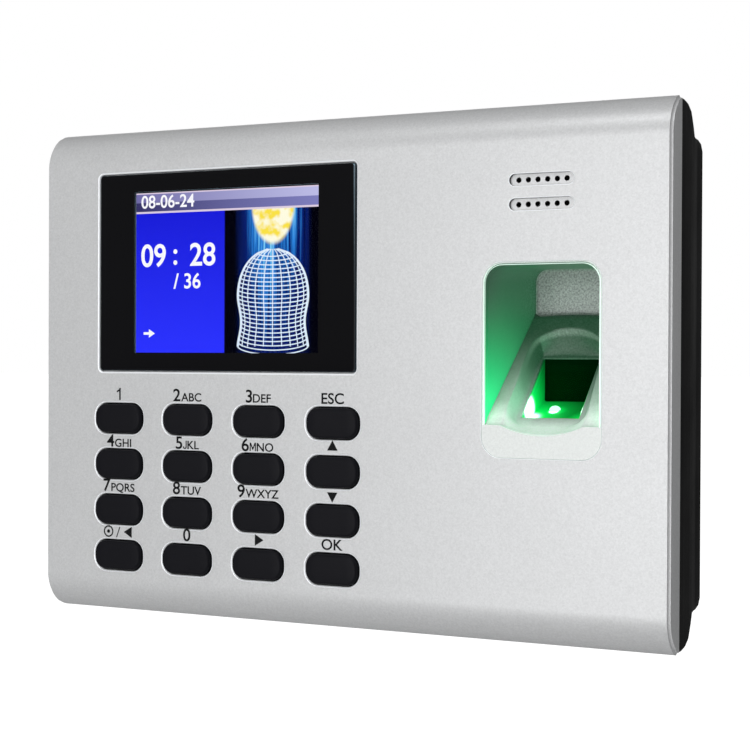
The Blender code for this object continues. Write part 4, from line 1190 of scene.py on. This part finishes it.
def make_lamp():
    """The lamp that stands in the floor of the optical block: a short collar under a dome."""
    lamp, _ = LAMP_SPOTS[0]
    back, dome_start = 1.4, 0.8  # depths behind the lamp's spot
    profile = [(back, COLLAR_RADIUS), (0.5, COLLAR_RADIUS), (0.7, COLLAR_RADIUS), (dome_start, LAMP_RADIUS)]
    for t in (0.25, 0.5, 0.8, 1.1, 1.35):
        profile.append((dome_start - LAMP_RADIUS * math.sin(t), LAMP_RADIUS * math.cos(t)))
    shape = bmesh.new()
    rings = []
    for depth, radius in profile:
        spots = circle(0.0, 0.0, radius, 28)
        rings.append([shape.verts.new(lamp + Vector((x, depth, z)) * MM) for x, z in spots])
    bridge_all(shape, rings)
    shape.faces.new(rings[0])
    shape.faces.new(rings[-1])
    attach(finish_piece("sensor_lamp", shape, LED), BODY, "green_light")


def make_optical_block():
    """The sides and floor that show through the sensor's glass, with painted green light, and the dark
    window at the back.
    """
    half = OPENING_HALF - BLOCK_CLEARANCE
    side_view = ((6.15, -11.1), (7.3, -12.6), (21.2, -6.9), (21.2, 3.9))  # (depth, z) from the front
    shape = bmesh.new()
    left, right = (
        [shape.verts.new(from_recess(side * half, depth, z)) for depth, z in side_view] for side in (-1, 1)
    )
    shape.faces.new(left)
    shape.faces.new(right)
    shape.faces.new((left[1], right[1], right[2], left[2]))
    bmesh.ops.subdivide_edges(shape, edges=shape.edges, cuts=3, use_grid_fill=True)
    lit = finish_piece("optical_block", shape, SENSOR_GLOW)
    lit.modifiers.new("thickness", "SOLIDIFY").thickness = BLOCK_WALL * MM
    attach(lit, BODY, "green_light")
    make_lamp()
    (_, low), (depth, high) = side_view[2:]
    shape = bmesh.new()
    polygon(shape, rounded(RECESS_X, (low + high) / 2, 2 * half - 0.3, high - low, 0.6), depth, 0.4)
    attach(finish_piece("imaging_window", shape, SENSOR_DARK), BODY, "sensor_glass")


# Details of the sockets


# Heights of the contacts and of the tongue, from the middle of their socket
NETWORK_RISE, USB_DROP, TONGUE_RISE = 3.4, 0.1, 0.9


def contact_row(shape, x, z, count, pitch, size, corner, depth, length):
    """Flat spring contacts side by side about x. Their size is their width and height."""
    for i in range(count):
        outline = rounded(x + (i - (count - 1) / 2) * pitch, z, *size, corner, 2)
        polygon(shape, outline, depth, length)


def make_contacts():
    """The network socket's spring contacts, and the contacts under the USB socket's tongue."""
    socket, tongue = middle("network_socket"), middle("usb_socket")
    back = box_mm("network_socket")[1].y
    shape = bmesh.new()
    contact_row(shape, socket.x, socket.z + NETWORK_RISE, 8, 1.02, (0.4, 0.35), 0.06, back - 1.5, 6.5)
    contact_row(shape, tongue.x, tongue.z - USB_DROP, 4, 2.3, (1.0, 0.2), 0.04, back - 1.4, 6.0)
    attach(finish_piece("socket_contacts", shape, GOLD, weighted=False), BODY, "steel")
    shape = bmesh.new()
    polygon(shape, rounded(tongue.x, tongue.z + TONGUE_RISE, 10.4, 1.8, 0.25, 3), back - 0.8, 8.0)
    attach(finish_piece("usb_tongue", shape, WHITE_PLASTIC), BODY, "white_plastic")


def make_terminal_screws():
    """A slotted screw above each way of the terminal block."""
    block, back = middle("terminal_block"), box_mm("terminal_block")[1].y
    pitch, rise, radius, slot_turn, slot_angle = 5.3, 2.8, 1.15, 35, 12
    shape = bmesh.new()
    for i in (-1, 0, 1):
        x, z = block.x + pitch * i, block.z + rise
        polygon(shape, circle(x, z, radius), back - 0.6, 0.35)
        for turn in (slot_turn, slot_turn + 180):
            half_head = arc(x, z, radius, turn + slot_angle, turn + 180 - slot_angle, 10)
            polygon(shape, half_head, back - 0.25, 0.34)
    attach(finish_piece("terminal_screws", shape, STEEL, weighted=False), BODY, "steel")


# What the CAD nodes keep as their own shape


BEVEL_ANGLE = 50.0  # edges sharper than this are rounded


def dress(node, material, bevel=0.0):
    """Gives a CAD node its material, and rounds its edges with a modifier if a bevel is asked for."""
    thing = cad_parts[node]
    thing.data.materials.clear()
    thing.data.materials.append(material)
    for face in thing.data.polygons:
        face.material_index = 0
    if bevel:
        edge = thing.modifiers.new("soft_edges", "BEVEL")
        edge.width = bevel * MM
        edge.segments = 2
        edge.limit_method = "ANGLE"
        edge.angle_limit = math.radians(BEVEL_ANGLE)
        edge.harden_normals = False


def dress_nodes():
    dress("rear_shell", BLACK_SHELL, 0.3)
    dress("wall_plate", BLACK_STEEL, 0.2)
    finishes = (
        (BLACK_PLASTIC, ("sensor_housing", "power_socket", "tamper_switch", "speaker_basket")),
        (RUBBER, ("keypad_mat", "sensor_cable")),
        (FOAM, ("window_adhesive", "speaker_foam")),
        (PAPER, ("speaker_cone",)),
        (STEEL, ("speaker_magnet", "coin_cell", "network_socket", "usb_socket", "lcd_tray", "lock_screw")),
        (STEEL, [f"board_screw_{i}" for i in range(1, 5)] + [f"case_screw_{i}" for i in range(1, 5)]),
        (BOARD, ("keypad_board", "main_board", "sensor_board")),
        (CHIP, ("processor", "image_sensor")),
        (GREEN_PLASTIC, ("terminal_block",)),
        (WHITE_PLASTIC, ("tamper_plunger",)),
        (FILM, ("lcd_cable",)),
        (WIRE, ("speaker_cable",)),
        (LCD_GLASS, ("lcd_panel",)),
        (SENSOR_GLASS, ("sensor_glass",)),
        (LED, ("sensor_light_lower", "sensor_light_upper")),
    )
    for material, nodes in finishes:
        for node in nodes:
            dress(node, material)


# Surroundings


def make_floor():
    """A plain pale floor well below the terminal."""
    shape = bmesh.new()
    bmesh.ops.create_circle(shape, cap_ends=True, segments=96, radius=40.0)
    paint = Paint("floor_paint")
    tint = paint.scaled((0.62, 0.62, 0.62, 1), paint.range(paint.noise(400.0, 3.0), 0.3, 0.7, 0.985, 1.0))
    paint.surface_set(Base_Color=tint, Roughness=0.9, Specular_IOR_Level=0.0)
    seen = paint.node("LightPath").outputs["Is Camera Ray"]
    paint.surface_set(Emission_Color=(1, 1, 1, 1), Emission_Strength=paint.range(seen, 0.0, 1.0, 0.05, 1.0))
    floor = finish_piece("floor", shape, paint.material, weighted=False)
    floor.location = (0, 0, CAD_BOX[0].z - 0.3)


STUDIO_LEVEL, STUDIO_FRONT, STUDIO_SIDE_FALL = 0.3, 0.2, 0.17  # the level, more in front, less at the sides


def make_world():
    """A white background for the camera, and a soft studio: brightest in front and dimmest at the sides."""
    world = bpy.data.worlds.new("studio")
    bpy.context.scene.world = world
    world.use_nodes = True
    world.node_tree.nodes.clear()
    sky = Nodes(world.node_tree)
    across, back, _ = sky.node("SeparateXYZ", {0: sky.node("TexCoord").outputs["Generated"]}).outputs
    front = sky.product(sky.math("MINIMUM", back, 0.0), -STUDIO_FRONT)
    side = sky.product(sky.math("ABSOLUTE", across), -STUDIO_SIDE_FALL)
    white, level = (1, 1, 1, 1), sky.total(front, side, STUDIO_LEVEL)
    light = sky.node("Background", {"Color": white, "Strength": level}).outputs[0]
    seen = sky.node("Background", {"Color": white}).outputs[0]
    by_camera = sky.node("LightPath").outputs["Is Camera Ray"]
    mix = sky.node("MixShader", {0: by_camera, 1: light, 2: seen}).outputs[0]
    sky.node("OutputWorld", {"Surface": mix})


def area_light(name, position, target, size, power, tint=(1, 1, 1)):
    light = bpy.data.lights.new(name, "AREA")
    light.shape = "RECTANGLE"
    light.size, light.size_y = size
    light.energy = power
    light.color = tint
    lamp = bpy.data.objects.new(name, light)
    lamp.location = position
    lamp.rotation_euler = (Vector(target) - Vector(position)).to_track_quat("-Z", "Y").to_euler()
    bpy.context.scene.collection.objects.link(lamp)


def make_lights():
    area_light("key_light", (-0.1, -1.25, 0.1), (0.03, FACE_Y, 0), (0.75, 0.5), 4.4)
    area_light("high_light", (0.0, -0.7, 0.95), (0, FACE_Y, 0.05), (0.6, 0.3), 3.8)
    area_light("low_light", (0.0, -0.75, -0.2), (0, FACE_Y, -0.06), (0.6, 0.2), 0.85)
    area_light("back_light", (-0.6, 0.9, 0.1), (0, 0, 0), (0.8, 0.8), 3.0)
    area_light("right_light", (0.9, 0.35, 0.1), (0.09, -0.02, 0), (0.5, 0.5), 0.4)
    start, end = from_recess(0, 9.0, -6.5), from_recess(-12, 10, 2)
    area_light("sensor_light", start, end, (0.008, 0.008), 0.0014, (0.35, 1.0, 0.6))


CAMERA_PLACE = (0.21537, -0.424195, 0.00347)
CAMERA_AZIMUTH, CAMERA_ELEVATION, CAMERA_ROLL = 27.5915, 0.5072, 0.2541
CAMERA_LENS, CAMERA_SENSOR = 83.564, 36.0


def make_camera():
    """Stands where the terminal looks as it should: to its right, almost level with its middle."""
    camera = bpy.data.cameras.new("camera")
    camera.lens, camera.sensor_width = CAMERA_LENS, CAMERA_SENSOR
    camera.clip_start, camera.clip_end = 0.01, 200.0
    holder = bpy.data.objects.new("camera", camera)
    turn = Euler((math.radians(90 - CAMERA_ELEVATION), 0, math.radians(CAMERA_AZIMUTH)), "XYZ").to_matrix()
    roll = Matrix.Rotation(math.radians(CAMERA_ROLL), 3, "Z")
    holder.matrix_world = Matrix.Translation(CAMERA_PLACE) @ (turn @ roll).to_4x4()
    bpy.context.scene.collection.objects.link(holder)
    bpy.context.scene.camera = holder


make_cover()
make_seam()
make_lens()
make_picture()
make_fingertip()
make_display_figures()
make_legends()
for key_name in KEY_NAMES:
    make_key(key_name)
make_bezel()
make_optical_block()
make_contacts()
make_terminal_screws()
dress_nodes()
make_floor()
make_world()
make_lights()
make_camera()
bpy.context.scene.view_settings.view_transform = "Standard"
